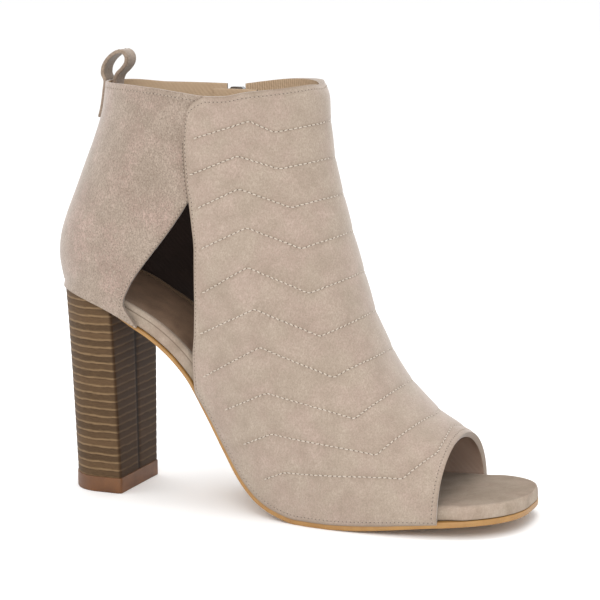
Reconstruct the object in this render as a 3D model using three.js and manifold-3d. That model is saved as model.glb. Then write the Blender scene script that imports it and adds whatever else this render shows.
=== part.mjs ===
// Peep toe ankle boot for the right foot: a hollow suede upper with a side cut-out and a zip on
// the inner side, a stitched front panel, a wrapped insole, a thin outsole and a block heel.
// Millimetres, +Z up, +X towards the toe, +Y towards the inner side of the foot.
import * as THREE from 'three';
import { mergeVertices } from 'three/addons/utils/BufferGeometryUtils.js';
import Module from 'manifold-3d';

const wasm = await Module();
wasm.setup();

// Driving dimensions
const bootLength = 218; // back of the counter to the tip of the insole
const ballWidth = 77; // widest part of the lasted upper, across the ball
const seatHeight = 92; // floor to the back of the heel seat
const collarHeight = 184.5; // floor to the front of the collar
const toeSpring = 6; // rise of the sole from the ball to the toe
const clearance = 0.3; // between pieces that meet

const upperWall = 1.3; // suede with its lining
const panelWall = 1; // front panel, on top of the upper
const toeFold = 1.2; // upper ends this far behind the panel at the toe opening
const outsoleFore = 2.4; // thickness under the forefoot
const outsoleWaist = 1.5; // thickness under the arch
const footbedDepth = 7; // wrapped insole
const footbedRound = 2.2; // rounding of its upper edge
const sockDepth = 0.8; // sock lining, glued on the insole
const sockMargin = 2.6; // insole left bare around the sock lining
const sockEnd = 0.64; // front of the sock lining, as a share of bootLength

const breastX = 35; // front face of the heel at the floor
const breastLean = 1.6; // front face leans back by this much at the seat
const heelDepth = 28; // heel, front to back, at the floor
const heelWidth = 38.4; // heel, side to side, at the floor
const heelInset = 0.9; // upper stands proud of the heel by this much
const heelCornerRound = 1.6; // rounding of the two front corners
const tipHeight = 7; // top piece under the heel
const tipProud = 0.3; // top piece stands out from the heel

const loopWidth = 9; // pull loop, side to side
const loopThick = 1.7;
const loopRise = 14; // top of the loop above the back of the collar
const loopTail = 16; // strap sewn down below the collar, outside
const loopTuck = 11; // and inside
const loopSlack = 0.75; // hollow of the back seam under the strap's width

const zipLength = 92; // from the collar to the foot of the slot
const zipAlong = 70.5; // middle of the zip, from the back of the boot
const zipSlot = 9; // gap between the two edges of the upper
const chainWidth = 5; // joined teeth
const chainDepth = 1.7;
const tapeDepth = 0.7;
const tapeWidth = 21;
const stopLength = 2.6; // bottom stop
const sliderWidth = 8.2;
const sliderLength = 11;
const sliderPlate = 1;
const bailWidth = 1.7; // arch that carries the pull
const bailThick = 1.2;
const pullLength = 24;
const pullWidth = 5.6;
const pullThick = 1.3;

// Colours from the photograph
const colours = {
  suede: 0xb5a496,
  insole: 0xa3917f,
  sock: 0x8b6d55,
  sole: 0xc79a5e,
  stack: 0x7a664e,
  rubber: 0x8f5a32,
  tape: 0xa8988a,
  metal: 0xb9bbbd,
};

// Outline of the lasted upper at the feather edge: half widths as shares of ballWidth
const outlineRows = [
  { along: 0, outer: 0.338, inner: 0.338 },
  { along: 0.1189, outer: 0.348, inner: 0.343 },
  { along: 0.1982, outer: 0.336, inner: 0.312 },
  { along: 0.2972, outer: 0.322, inner: 0.272 },
  { along: 0.3666, outer: 0.334, inner: 0.282 },
  { along: 0.4459, outer: 0.376, inner: 0.335 },
  { along: 0.545, outer: 0.446, inner: 0.425 },
  { along: 0.6242, outer: 0.485, inner: 0.472 },
  { along: 0.6936, outer: 0.492, inner: 0.487 },
  { along: 0.7728, outer: 0.476, inner: 0.468 },
  { along: 0.8521, outer: 0.443, inner: 0.424 },
  { along: 0.9215, outer: 0.412, inner: 0.394 },
  { along: 1, outer: 0.378, inner: 0.366 },
];
const heelStart = 0.0094; // back of the outline at the seat, as a share of bootLength
const heelRound = { along: 0.12, power: 2.1 }; // rounding of the outline at the heel
const toeRound = { along: 0.135, power: 2.35 }; // squarer rounding at the toe

// Side profile of the feather edge: rise as a share of the seat's, spring as a share of toeSpring
const profileRows = [
  { along: 0, rise: 1, spring: 0 },
  { along: 0.0456, rise: 0.988, spring: 0 },
  { along: 0.0921, rise: 0.962, spring: 0 },
  { along: 0.1377, rise: 0.922, spring: 0 },
  { along: 0.1833, rise: 0.868, spring: 0 },
  { along: 0.2294, rise: 0.81, spring: 0 },
  { along: 0.2754, rise: 0.728, spring: 0 },
  { along: 0.321, rise: 0.616, spring: 0 },
  { along: 0.3666, rise: 0.468, spring: 0 },
  { along: 0.4132, rise: 0.29, spring: 0 },
  { along: 0.4588, rise: 0.134, spring: 0 },
  { along: 0.4954, rise: 0.06, spring: 0 },
  { along: 0.5321, rise: 0.022, spring: 0 },
  { along: 0.5777, rise: 0, spring: 0 },
  { along: 0.6391, rise: 0, spring: 0 },
  { along: 0.6881, rise: 0, spring: 0.08 },
  { along: 0.7385, rise: 0, spring: 0.25 },
  { along: 0.789, rise: 0, spring: 0.46 },
  { along: 0.8257, rise: 0, spring: 0.61 },
  { along: 0.8624, rise: 0, spring: 0.74 },
  { along: 0.9358, rise: 0, spring: 0.92 },
  { along: 1, rise: 0, spring: 1 },
];

// Sections of the last, fanned from the toe opening to the collar. ridgeX and base are shares of
// bootLength, ridgeZ of collarHeight. climb is 0 where the section ends on the feather edge, and
// otherwise its end on the back seam as a share of the way from the seat to the collar.
// outer and inner are half widths as shares of ballWidth, widest is where along the section. crown
// below 1 flattens the top, blunt above 1 squares the end of the section.
const sectionRows = [
  {
    ridgeX: 0.922, ridgeZ: 0.1442, base: 0.9264, climb: 0, outer: 0.405, inner: 0.385,
    widest: 0.97, crown: 1, blunt: 1,
  },
  {
    ridgeX: 0.8624, ridgeZ: 0.1908, base: 0.862, climb: 0, outer: 0.447, inner: 0.427,
    widest: 0.97, crown: 1, blunt: 1,
  },
  {
    ridgeX: 0.8317, ridgeZ: 0.2146, base: 0.8075, climb: 0, outer: 0.472, inner: 0.455,
    widest: 0.94, crown: 0.99, blunt: 1,
  },
  {
    ridgeX: 0.794, ridgeZ: 0.2407, base: 0.7491, climb: 0, outer: 0.49, inner: 0.484,
    widest: 0.9, crown: 0.97, blunt: 1,
  },
  {
    ridgeX: 0.7436, ridgeZ: 0.297, base: 0.6837, climb: 0, outer: 0.497, inner: 0.497,
    widest: 0.85, crown: 0.96, blunt: 1,
  },
  {
    ridgeX: 0.7094, ridgeZ: 0.352, base: 0.6163, climb: 0, outer: 0.493, inner: 0.486,
    widest: 0.8, crown: 0.96, blunt: 1,
  },
  {
    ridgeX: 0.6857, ridgeZ: 0.411, base: 0.5479, climb: 0, outer: 0.475, inner: 0.462,
    widest: 0.74, crown: 0.98, blunt: 1,
  },
  {
    ridgeX: 0.6643, ridgeZ: 0.468, base: 0.4806, climb: 0, outer: 0.455, inner: 0.438,
    widest: 0.67, crown: 1, blunt: 1,
  },
  {
    ridgeX: 0.6495, ridgeZ: 0.524, base: 0.4132, climb: 0, outer: 0.44, inner: 0.424,
    widest: 0.6, crown: 1, blunt: 1,
  },
  {
    ridgeX: 0.6351, ridgeZ: 0.58, base: 0.3468, climb: 0, outer: 0.43, inner: 0.417,
    widest: 0.55, crown: 1, blunt: 1,
  },
  {
    ridgeX: 0.6208, ridgeZ: 0.636, base: 0.2774, climb: 0, outer: 0.424, inner: 0.413,
    widest: 0.52, crown: 1, blunt: 1.03,
  },
  {
    ridgeX: 0.6084, ridgeZ: 0.691, base: 0.2031, climb: 0, outer: 0.42, inner: 0.411,
    widest: 0.5, crown: 1, blunt: 1.08,
  },
  {
    ridgeX: 0.597, ridgeZ: 0.743, base: 0.1338, climb: 0, outer: 0.417, inner: 0.41,
    widest: 0.5, crown: 1, blunt: 1.15,
  },
  {
    ridgeX: 0.5866, ridgeZ: 0.793, base: 0.0723, climb: 0, outer: 0.415, inner: 0.409,
    widest: 0.5, crown: 1, blunt: 1.23,
  },
  {
    ridgeX: 0.5791, ridgeZ: 0.84, base: 0.0347, climb: 0, outer: 0.414, inner: 0.408,
    widest: 0.5, crown: 1, blunt: 1.31,
  },
  {
    ridgeX: 0.5757, ridgeZ: 0.872, base: 0.0163, climb: 0, outer: 0.413, inner: 0.408,
    widest: 0.5, crown: 1, blunt: 1.37,
  },
  {
    ridgeX: 0.5737, ridgeZ: 0.893, base: 0.0094, climb: 0, outer: 0.412, inner: 0.407,
    widest: 0.5, crown: 1, blunt: 1.4,
  },
  {
    ridgeX: 0.5727, ridgeZ: 0.91, base: -0.0005, climb: 0.11, outer: 0.411, inner: 0.407,
    widest: 0.5, crown: 1, blunt: 1.4,
  },
  {
    ridgeX: 0.5712, ridgeZ: 0.926, base: 0.002, climb: 0.216, outer: 0.41, inner: 0.406,
    widest: 0.5, crown: 1, blunt: 1.36,
  },
  {
    ridgeX: 0.5702, ridgeZ: 0.941, base: 0.016, climb: 0.325, outer: 0.409, inner: 0.406,
    widest: 0.5, crown: 1, blunt: 1.31,
  },
  {
    ridgeX: 0.5692, ridgeZ: 0.955, base: 0.037, climb: 0.445, outer: 0.408, inner: 0.405,
    widest: 0.5, crown: 1, blunt: 1.27,
  },
  {
    ridgeX: 0.5677, ridgeZ: 0.969, base: 0.0585, climb: 0.57, outer: 0.407, inner: 0.405,
    widest: 0.5, crown: 1, blunt: 1.24,
  },
  {
    ridgeX: 0.5663, ridgeZ: 0.984, base: 0.0805, climb: 0.695, outer: 0.406, inner: 0.404,
    widest: 0.5, crown: 1, blunt: 1.22,
  },
  {
    ridgeX: 0.5648, ridgeZ: 1, base: 0.0991, climb: 0.82, outer: 0.405, inner: 0.404,
    widest: 0.5, crown: 1, blunt: 1.2,
  },
  {
    ridgeX: 0.5628, ridgeZ: 1.016, base: 0.1075, climb: 0.93, outer: 0.404, inner: 0.403,
    widest: 0.5, crown: 1, blunt: 1.2,
  },
  {
    ridgeX: 0.5608, ridgeZ: 1.04, base: 0.113, climb: 1.05, outer: 0.403, inner: 0.402,
    widest: 0.5, crown: 1, blunt: 1.2,
  },
];
const lastSection = sectionRows.length - 1;
const heelCorner = 16; // first section that ends on the back seam

// Height of the collar along the boot, as a share of collarHeight
const collarRows = [
  { along: 0, outer: 0.986, inner: 0.986 },
  { along: 0.109, outer: 0.987, inner: 0.985 },
  { along: 0.1833, outer: 0.989, inner: 0.975 },
  { along: 0.2616, outer: 0.985, inner: 0.973 },
  { along: 0.325, outer: 0.977, inner: 0.972 },
  { along: 0.3825, outer: 0.97, inner: 0.973 },
  { along: 0.4122, outer: 0.9705, inner: 0.976 },
  { along: 0.4558, outer: 0.98, inner: 0.983 },
  { along: 0.5063, outer: 0.987, inner: 0.99 },
  { along: 0.5469, outer: 0.9935, inner: 0.9945 },
  { along: 0.5767, outer: 1, inner: 1 },
  { along: 0.6936, outer: 1.003, inner: 1.003 },
];

// Back edge of the front panel on the outer side: shares of collarHeight and bootLength
const panelRows = [
  { rise: 0, along: 0.3431 },
  { rise: 0.27, along: 0.3431 },
  { rise: 0.308, along: 0.3436 },
  { rise: 0.368, along: 0.3468 },
  { rise: 0.42, along: 0.3537 },
  { rise: 0.51, along: 0.3577 },
  { rise: 0.615, along: 0.3577 },
  { rise: 0.68, along: 0.3517 },
  { rise: 0.732, along: 0.3454 },
  { rise: 0.788, along: 0.3389 },
  { rise: 0.854, along: 0.3359 },
  { rise: 0.915, along: 0.3399 },
  { rise: 0.9355, along: 0.3438 },
  { rise: 0.954, along: 0.3547 },
  { rise: 0.963, along: 0.3676 },
];

// Front edge of the back quarter, from the tip of the cut-out to the sole: along is a share of
// bootLength, climb a share of the way from the seat to the collar
const quarterRows = [
  { along: 0.3454, climb: 0.468 },
  { along: 0.32, climb: 0.378 },
  { along: 0.2873, climb: 0.275 },
  { along: 0.2537, climb: 0.1795 },
  { along: 0.2266, climb: 0.1005 },
  { along: 0.2106, climb: 0.0465 },
  { along: 0.1972, climb: -0.011 },
  { along: 0.1902, climb: -0.041 },
  { along: 0.1936, climb: -0.0724 },
  { along: 0.2041, climb: -0.119 },
  { along: 0.22, climb: -0.2 },
  { along: 0.22, climb: -0.4 },
];

// Peep toe: front edge of the upper, as a share of bootLength
const toeEdge = 0.862;

// Middle of the pull loop's strap above the collar, as shares of loopRise
const loopRows = [
  { reach: -0.086, rise: 0.23 },
  { reach: -0.036, rise: 0.486 },
  { reach: 0.136, rise: 0.72 },
  { reach: 0.386, rise: 0.893 },
  { reach: 0.607, rise: 0.914 },
  { reach: 0.736, rise: 0.77 },
  { reach: 0.721, rise: 0.57 },
  { reach: 0.586, rise: 0.386 },
  { reach: 0.41, rise: 0.214 },
];

// Margins along the boot: the outsole outside the lasted outline, the insole inside it, and the
// insole's depth as a share of footbedDepth
const marginRows = [
  { along: 0, sole: -0.9, bed: 3, depth: 1 },
  { along: 0.12, sole: -0.9, bed: 2.6, depth: 1 },
  { along: 0.22, sole: -0.9, bed: 2, depth: 1 },
  { along: 0.317, sole: -0.9, bed: 1.8, depth: 1 },
  { along: 0.3765, sole: 1, bed: 1.8, depth: 1 },
  { along: 0.55, sole: 1, bed: 1.8, depth: 1 },
  { along: 0.8, sole: 1, bed: 1.8, depth: 0.86 },
  { along: 0.86, sole: 0.9, bed: 1.8, depth: 0.84 },
  { along: 0.91, sole: 0.6, bed: 1.8, depth: 0.82 },
  { along: 1, sole: 0.6, bed: 1.8, depth: 0.82 },
];

// Smooth curve through a column of a table: cubic, never overshooting its rows
function smooth(rows, key, column) {
  const x = rows.map((row) => row[key]);
  const y = rows.map((row) => row[column]);
  const slope = x.map(() => 0);
  const rise = (i) => (y[i + 1] - y[i]) / (x[i + 1] - x[i]);
  for (let i = 1; i < x.length - 1; i++) {
    const before = rise(i - 1);
    const after = rise(i);
    slope[i] = before * after <= 0 ? 0 : (2 * before * after) / (before + after);
  }
  slope[0] = rise(0);
  slope[x.length - 1] = rise(x.length - 2);
  return (at) => {
    const value = Math.min(Math.max(at, x[0]), x[x.length - 1]);
    let i = 0;
    while (i < x.length - 2 && value > x[i + 1]) i++;
    const h = x[i + 1] - x[i];
    const t = (value - x[i]) / h;
    return (
      y[i] * (1 + 2 * t) * (1 - t) ** 2 +
      h * slope[i] * t * (1 - t) ** 2 +
      y[i + 1] * t * t * (3 - 2 * t) +
      h * slope[i + 1] * t * t * (t - 1)
    );
  };
}

// Smooth curve through a column of the section table, by section number
function bySection(column) {
  const values = sectionRows.map((row) => row[column]);
  const last = values.length - 1;
  const value = (i) => {
    if (i < 0) return 2 * values[0] - values[1];
    if (i > last) return 2 * values[last] - values[last - 1];
    return values[i];
  };
  return (k) => {
    const i = Math.min(Math.max(Math.floor(k), 0), last - 1);
    const t = k - i;
    const [a, b, c, d] = [value(i - 1), value(i), value(i + 1), value(i + 2)];
    return b + 0.5 * t * (c - a + t * (2 * a - 5 * b + 4 * c - d + t * (3 * (b - c) + d - a)));
  };
}

const outlineOuter = smooth(outlineRows, 'along', 'outer');
const outlineInner = smooth(outlineRows, 'along', 'inner');
const profileRise = smooth(profileRows, 'along', 'rise');
const profileSpring = smooth(profileRows, 'along', 'spring');
const collarOuter = smooth(collarRows, 'along', 'outer');
const collarInner = smooth(collarRows, 'along', 'inner');
const panelAlong = smooth(panelRows, 'rise', 'along');
const section = Object.fromEntries(
  Object.keys(sectionRows[0]).map((c) => [c, bySection(c)]),
);

const roundEnd = (t, power) => (t >= 1 ? 1 : (1 - (1 - Math.max(t, 0)) ** power) ** (1 / power));

// Half width of the lasted outline at x, with side -1 outer and 1 inner
function edge(x, side) {
  const share = x / bootLength;
  const body = side < 0 ? outlineOuter(share) : outlineInner(share);
  const heel = roundEnd((share - heelStart) / heelRound.along, heelRound.power);
  const toe = roundEnd((1 - share) / toeRound.along, toeRound.power);
  return ballWidth * body * heel * toe;
}

// Height of the feather edge, where the upper and insole meet the sole
function feather(x) {
  const share = x / bootLength;
  return outsoleFore + (seatHeight - outsoleFore) * profileRise(share) + toeSpring * profileSpring(share);
}

const collar = (x, side) => collarHeight * (side < 0 ? collarOuter : collarInner)(x / bootLength);

// Unit normal of the feather line in side view, pointing up
function featherNormal(x) {
  const step = 0.5;
  const slope = (feather(x + step) - feather(x - step)) / (2 * step);
  const length = Math.hypot(slope, 1);
  return { x: -slope / length, z: 1 / length };
}

// A point of the last: k runs over the sections, u is 0 on the ridge, 1 at the widest line
// and 2 on the feather edge or back seam
function lastPoint(k, u, side) {
  const closed = k >= heelCorner;
  const ridge = new THREE.Vector3(bootLength * section.ridgeX(k), 0, collarHeight * section.ridgeZ(k));
  const baseX = bootLength * section.base(k);
  const onSeam = seatHeight + section.climb(k) * (collarHeight - seatHeight);
  const base = new THREE.Vector3(baseX, 0, closed ? onSeam : feather(baseX));
  const width = ballWidth * (side < 0 ? section.outer(k) : section.inner(k));
  const tuck = closed ? 0 : Math.min(edge(baseX, side) / width, 1);
  const widest = section.widest(k);
  let share;
  let half;
  if (u <= 1) {
    const turn = (Math.PI / 2) * u;
    share = widest * (1 - Math.cos(turn));
    half = width * Math.sin(turn) ** section.crown(k);
  } else {
    const end = closed ? Math.PI / 2 : Math.acos(Math.min(tuck, 0.998) ** (heelRound.power / 2));
    const turn = end * (u - 1);
    share = widest + (1 - widest) * (Math.sin(turn) / Math.sin(end)) ** (1 / section.blunt(k));
    half = u === 2 && closed ? 0 : width * Math.cos(turn) ** (2 / heelRound.power);
  }
  const point = ridge.lerp(base, share);
  point.y = side * half;
  return point;
}

// The same point moved out along the surface normal
function skinPoint(k, u, side, out) {
  const dk = 0.05;
  const du = 0.02;
  const k0 = Math.max(k - dk, k >= heelCorner ? heelCorner : 0);
  const k1 = Math.min(k + dk, k < heelCorner ? heelCorner - 0.001 : lastSection);
  const u0 = Math.max(u - du, 0);
  const u1 = Math.min(u + du, 2);
  const alongK = lastPoint(k1, u, side).sub(lastPoint(k0, u, side));
  const alongU = lastPoint(k, u1, side).sub(lastPoint(k, u0, side));
  const normal = alongU.cross(alongK).multiplyScalar(side).normalize();
  return lastPoint(k, u, side).addScaledVector(normal, out);
}

// Manifold helpers
function toManifold(geometry) {
  const bare = geometry.index ? geometry.toNonIndexed() : geometry.clone();
  bare.deleteAttribute('normal');
  bare.deleteAttribute('uv');
  const merged = mergeVertices(bare, 1e-4);
  const index = merged.index.array;
  const kept = [];
  for (let i = 0; i < index.length; i += 3) {
    const [a, b, c] = [index[i], index[i + 1], index[i + 2]];
    if (a !== b && b !== c && c !== a) kept.push(a, b, c);
  }
  return new wasm.Manifold(
    new wasm.Mesh({
      numProp: 3,
      vertProperties: new Float32Array(merged.attributes.position.array),
      triVerts: new Uint32Array(kept),
    }),
  );
}

function toGeometry(manifold) {
  const mesh = manifold.getMesh();
  const geometry = new THREE.BufferGeometry();
  const count = mesh.vertProperties.length / mesh.numProp;
  const position = new Float32Array(count * 3);
  for (let i = 0; i < count; i++) {
    for (let c = 0; c < 3; c++) position[3 * i + c] = mesh.vertProperties[i * mesh.numProp + c];
  }
  geometry.setAttribute('position', new THREE.BufferAttribute(position, 3));
  geometry.setIndex(new THREE.BufferAttribute(new Uint32Array(mesh.triVerts), 1));
  return geometry;
}

// Closed solid through rings of points that all have the same count, with flat ends
function loft(rings) {
  const count = rings[0].length;
  const position = [];
  const tri = (a, b, c) => position.push(...a.toArray(), ...b.toArray(), ...c.toArray());
  for (let i = 0; i < rings.length - 1; i++) {
    for (let j = 0; j < count; j++) {
      const n = (j + 1) % count;
      const [a, b, c, d] = [rings[i][j], rings[i][n], rings[i + 1][n], rings[i + 1][j]];
      tri(a, b, c);
      tri(a, c, d);
    }
  }
  for (const [ring, flip] of [[rings[0], true], [rings[rings.length - 1], false]]) {
    const middle = ring.reduce((sum, p) => sum.add(p), new THREE.Vector3()).divideScalar(count);
    for (let j = 0; j < count; j++) {
      const [a, b] = [ring[j], ring[(j + 1) % count]];
      if (flip) tri(middle, b, a);
      else tri(middle, a, b);
    }
  }
  const geometry = new THREE.BufferGeometry();
  geometry.setAttribute('position', new THREE.BufferAttribute(new Float32Array(position), 3));
  const solid = toManifold(geometry);
  return solid.volume() < 0 ? toManifold(flipped(geometry)) : solid;
}

function flipped(geometry) {
  const p = geometry.attributes.position.array.slice();
  for (let i = 0; i < p.length; i += 9) {
    for (let c = 0; c < 3; c++) [p[i + 3 + c], p[i + 6 + c]] = [p[i + 6 + c], p[i + 3 + c]];
  }
  const turned = new THREE.BufferGeometry();
  turned.setAttribute('position', new THREE.BufferAttribute(p, 3));
  return turned;
}

// Prism with a side-view outline of [x, z] points, between two y values
function sidePrism(points, y0, y1) {
  const shape = new THREE.Shape(points.map(([x, z]) => new THREE.Vector2(x, z)));
  const geometry = new THREE.ExtrudeGeometry(shape, { depth: y1 - y0, bevelEnabled: false });
  geometry.rotateX(Math.PI / 2);
  geometry.translate(0, y1, 0);
  return toManifold(geometry);
}

const range = (from, to, steps) =>
  Array.from({ length: steps + 1 }, (_, i) => from + ((to - from) * i) / steps);

const featherSteps = 48; // stretches of the feather line that every piece along it shares
const stationsBetween = (from, to) =>
  range(0, bootLength, featherSteps).filter((x) => x > from + 1 && x < to - 1);

const beyond = 60; // reach of a cutter past what it cuts
const bound = ballWidth; // half width that holds the whole boot

// Solid form of the last, grown by out, carried past the collar, the toe and below the feather
const lastRings = range(0, lastSection, lastSection);
const ringTurns = [...range(0, 1, 7), ...range(1, 2, 7).slice(1)];
const skirt = 9; // how far the form goes below the feather edge

function lastForm(out) {
  const rings = lastRings.map((k) => {
    const sides = [-1, 1].map((side) => {
      const row = ringTurns.map((u) => skinPoint(k, u, side, out));
      const hem = row[row.length - 1].clone();
      if (k < heelCorner) hem.z -= skirt;
      return [...row, hem];
    });
    for (const row of sides) row[0].y = 0;
    if (k >= heelCorner) for (const row of sides) for (const p of row.slice(-2)) p.y = 0;
    return [...sides[0].slice().reverse(), ...sides[1].slice(1)];
  });
  return loft(rings);
}

// Everything below the feather edge, lifted by lift
function belowFeather(lift) {
  const line = range(0, bootLength, featherSteps).map((x) => {
    const n = featherNormal(x);
    return [x + n.x * lift, feather(x) + n.z * lift];
  });
  return sidePrism(
    [[-beyond, -beyond], [bootLength + beyond, -beyond], [bootLength + beyond, line.at(-1)[1]], ...line.reverse(),
      [-beyond, line.at(-1)[1]]],
    -bound,
    bound,
  );
}

// Everything above the collar line
function aboveCollar() {
  const end = bootLength * collarRows[collarRows.length - 1].along;
  const top = collarHeight + beyond;
  const [outer, inner] = [-1, 1].map((side) => {
    const line = range(0, end, 40).map((x) => [x, collar(x, side)]);
    return [[-beyond, collar(0, side)], ...line, [end, top], [-beyond, top]];
  });
  return sidePrism(outer, -bound, 0).add(sidePrism(inner, 0, bound));
}

// Everything in front of the toe opening, moved back by fold
function beyondToe(fold) {
  const foot = bootLength * toeEdge - fold;
  const far = bootLength + beyond;
  return sidePrism([[foot, -beyond], [far, -beyond], [far, collarHeight], [foot, collarHeight]], -bound, bound);
}

// Outer side: back edge of the front panel, and the opening left behind it
const panelLine = (low, high, steps) =>
  range(low, high, steps).map((rise) => [bootLength * panelAlong(rise), collarHeight * rise]);

function cutoutPrism() {
  const quarter = quarterRows.map((row) => [
    bootLength * row.along,
    seatHeight + row.climb * (collarHeight - seatHeight),
  ]);
  const apex = quarter[0][1] / collarHeight;
  return sidePrism([...quarter, ...panelLine(0, apex, 24).slice(0, -1)], -bound, 0);
}

function outerPanelPrism() {
  const top = panelRows[panelRows.length - 1];
  const far = bootLength + beyond;
  const cornerX = bootLength * (top.along + 0.012);
  return sidePrism(
    [[far, 0], [far, collarHeight + beyond], [cornerX, collarHeight + beyond],
      [cornerX, collar(cornerX, -1)], ...panelLine(0, top.rise, 40).reverse()],
    -bound,
    0,
  );
}

// Inner side: slot for the zip, from the collar down
const zipTop = collar(zipAlong, 1);
const zipFoot = zipTop - zipLength;

function zipPrism(half, foot, top) {
  return sidePrism(
    [[zipAlong - half, foot], [zipAlong + half, foot], [zipAlong + half, top], [zipAlong - half, top]],
    0,
    bound,
  );
}

function innerPanelPrism() {
  const x = zipAlong + zipSlot / 2;
  const low = bootLength * panelRows[0].along;
  const far = bootLength + beyond;
  const top = collarHeight + beyond;
  return sidePrism([[low, 0], [far, 0], [far, top], [x, top], [x, zipFoot], [low, feather(low)]], 0, bound);
}

function makeUpper() {
  return lastForm(0)
    .subtract(lastForm(-upperWall))
    .subtract(belowFeather(clearance))
    .subtract(aboveCollar())
    .subtract(beyondToe(toeFold))
    .subtract(cutoutPrism())
    .subtract(zipPrism(zipSlot / 2, zipFoot, collarHeight + beyond));
}

function makeFrontPanel() {
  return lastForm(clearance + panelWall)
    .subtract(lastForm(clearance))
    .intersect(outerPanelPrism().add(innerPanelPrism()))
    .subtract(belowFeather(clearance))
    .subtract(aboveCollar())
    .subtract(beyondToe(0));
}

// Outline offset from the feather edge: returns the half width at x and the two ends
function outlineOffset(side, by) {
  const steps = 240;
  const tiny = 0.02;
  const start = bootLength * heelStart + tiny;
  const points = range(0, 1, steps).map((t) => {
    const x = start + (bootLength - tiny - start) * (0.5 - 0.5 * Math.cos(Math.PI * t));
    return new THREE.Vector2(x, edge(x, side));
  });
  const moved = points.map((p, i) => {
    const along = points[Math.min(i + 1, steps)].clone().sub(points[Math.max(i - 1, 0)]).normalize();
    return new THREE.Vector2(p.x - along.y * by(p.x), p.y + along.x * by(p.x));
  });
  return (x) => {
    const i = moved.findIndex((p, j) => j > 0 && p.x >= x);
    if (i < 0) return 0;
    const [a, b] = [moved[i - 1], moved[i]];
    return Math.max(0, a.y + ((b.y - a.y) * (x - a.x)) / Math.max(b.x - a.x, 1e-6));
  };
}

const byAlong = (rows, column) => {
  const curve = smooth(rows, 'along', column);
  return (x) => curve(x / bootLength);
};

// Cross sections of a plate that follows the feather line. half(x, side) is its half width, low and
// high are offsets along the line's normal, round rounds the upper edge
function plate(stations, half, low, high, round) {
  const rings = stations.map((x) => {
    const n = featherNormal(x);
    const at = (y, off) => new THREE.Vector3(x + n.x * off, y, feather(x) + n.z * off);
    const reach = [-1, 1].map((side) => Math.max(half(x, side), 0.4));
    const r = Math.min(round, reach[0] / 2, reach[1] / 2);
    const corner = (side) =>
      round === 0
        ? [at(side * reach[side < 0 ? 0 : 1], high(x))]
        : range(0, 1, 3).map((t) => {
            const turn = (Math.PI / 2) * t;
            const y = reach[side < 0 ? 0 : 1] - r + r * Math.cos(turn);
            return at(side * y, high(x) - r + r * Math.sin(turn));
          });
    return [at(-reach[0], low(x)), at(reach[1], low(x)), ...corner(1), ...corner(-1).reverse()];
  });
  return loft(rings);
}

const endGap = 0.15; // ends of the outline, where its width would fall to nothing

function makeOutsole() {
  const margin = byAlong(marginRows, 'sole');
  const outline = { '-1': edgeAt(-1), 1: edgeAt(1) };
  const start = breastX - breastLean + 1.2 * clearance + outsoleWaist * featherNormal(breastX).x;
  const tip = bootLength - endGap;
  const half = (x, side) => outline[side](x) + margin(x) * roundEnd((tip - x) / (bootLength * 0.03), 2);
  const thick = (x) => outsoleWaist + (outsoleFore - outsoleWaist) * smoothStep(x, 0.3, 0.5);
  const turn = bootLength * (1 - toeRound.along);
  const stations = [start, ...stationsBetween(start, turn), ...frontStations(turn, tip, 9)];
  return plate(stations, half, (x) => -thick(x), () => 0, 0);
}

const edgeAt = (side) => (x) => edge(x, side);

const smoothStep = (x, from, to) => {
  const t = Math.min(Math.max((x / bootLength - from) / (to - from), 0), 1);
  return t * t * (3 - 2 * t);
};

// Stations closer together towards an end, where the outline turns
const frontStations = (from, to, steps) =>
  range(0, 1, steps).map((t) => from + (to - from) * Math.sin((Math.PI / 2) * t));
const backStations = (from, to, steps) => frontStations(from, to, steps).reverse();

function makeFootbed() {
  const bed = byAlong(marginRows, 'bed');
  const depth = byAlong(marginRows, 'depth');
  const inside = { '-1': outlineOffset(-1, (x) => -bed(x)), 1: outlineOffset(1, (x) => -bed(x)) };
  const flush = (x) => smoothStep(x, toeEdge + 0.012, toeEdge + 0.05);
  const half = (x, side) => inside[side](x) * (1 - flush(x)) + edge(x, side) * flush(x);
  const start = bootLength * heelStart + marginRows[0].bed + endGap;
  const back = bootLength * heelRound.along;
  const turn = bootLength * (1 - toeRound.along);
  const stations = [
    ...backStations(back, start, 8),
    ...stationsBetween(back, turn),
    ...frontStations(turn, bootLength - endGap, 9),
  ];
  return plate(stations, half, () => clearance, (x) => footbedDepth * depth(x), footbedRound);
}

function makeSockLining() {
  const bed = byAlong(marginRows, 'bed');
  const depth = byAlong(marginRows, 'depth');
  const inset = (x) => -bed(x) - sockMargin;
  const outline = { '-1': outlineOffset(-1, inset), 1: outlineOffset(1, inset) };
  const front = bootLength * sockEnd;
  const half = (x, side) => outline[side](x) * roundEnd((front - x) / (bootLength * 0.1), 2.2);
  const start = bootLength * heelStart - inset(0) + endGap;
  const back = bootLength * heelRound.along;
  const turn = front - bootLength * 0.1;
  const stations = [
    ...backStations(back, start, 8),
    ...stationsBetween(back, turn),
    ...frontStations(turn, front - endGap, 7),
  ];
  const low = (x) => footbedDepth * depth(x) + clearance;
  return plate(stations, half, low, (x) => low(x) + sockDepth, 0);
}

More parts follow.
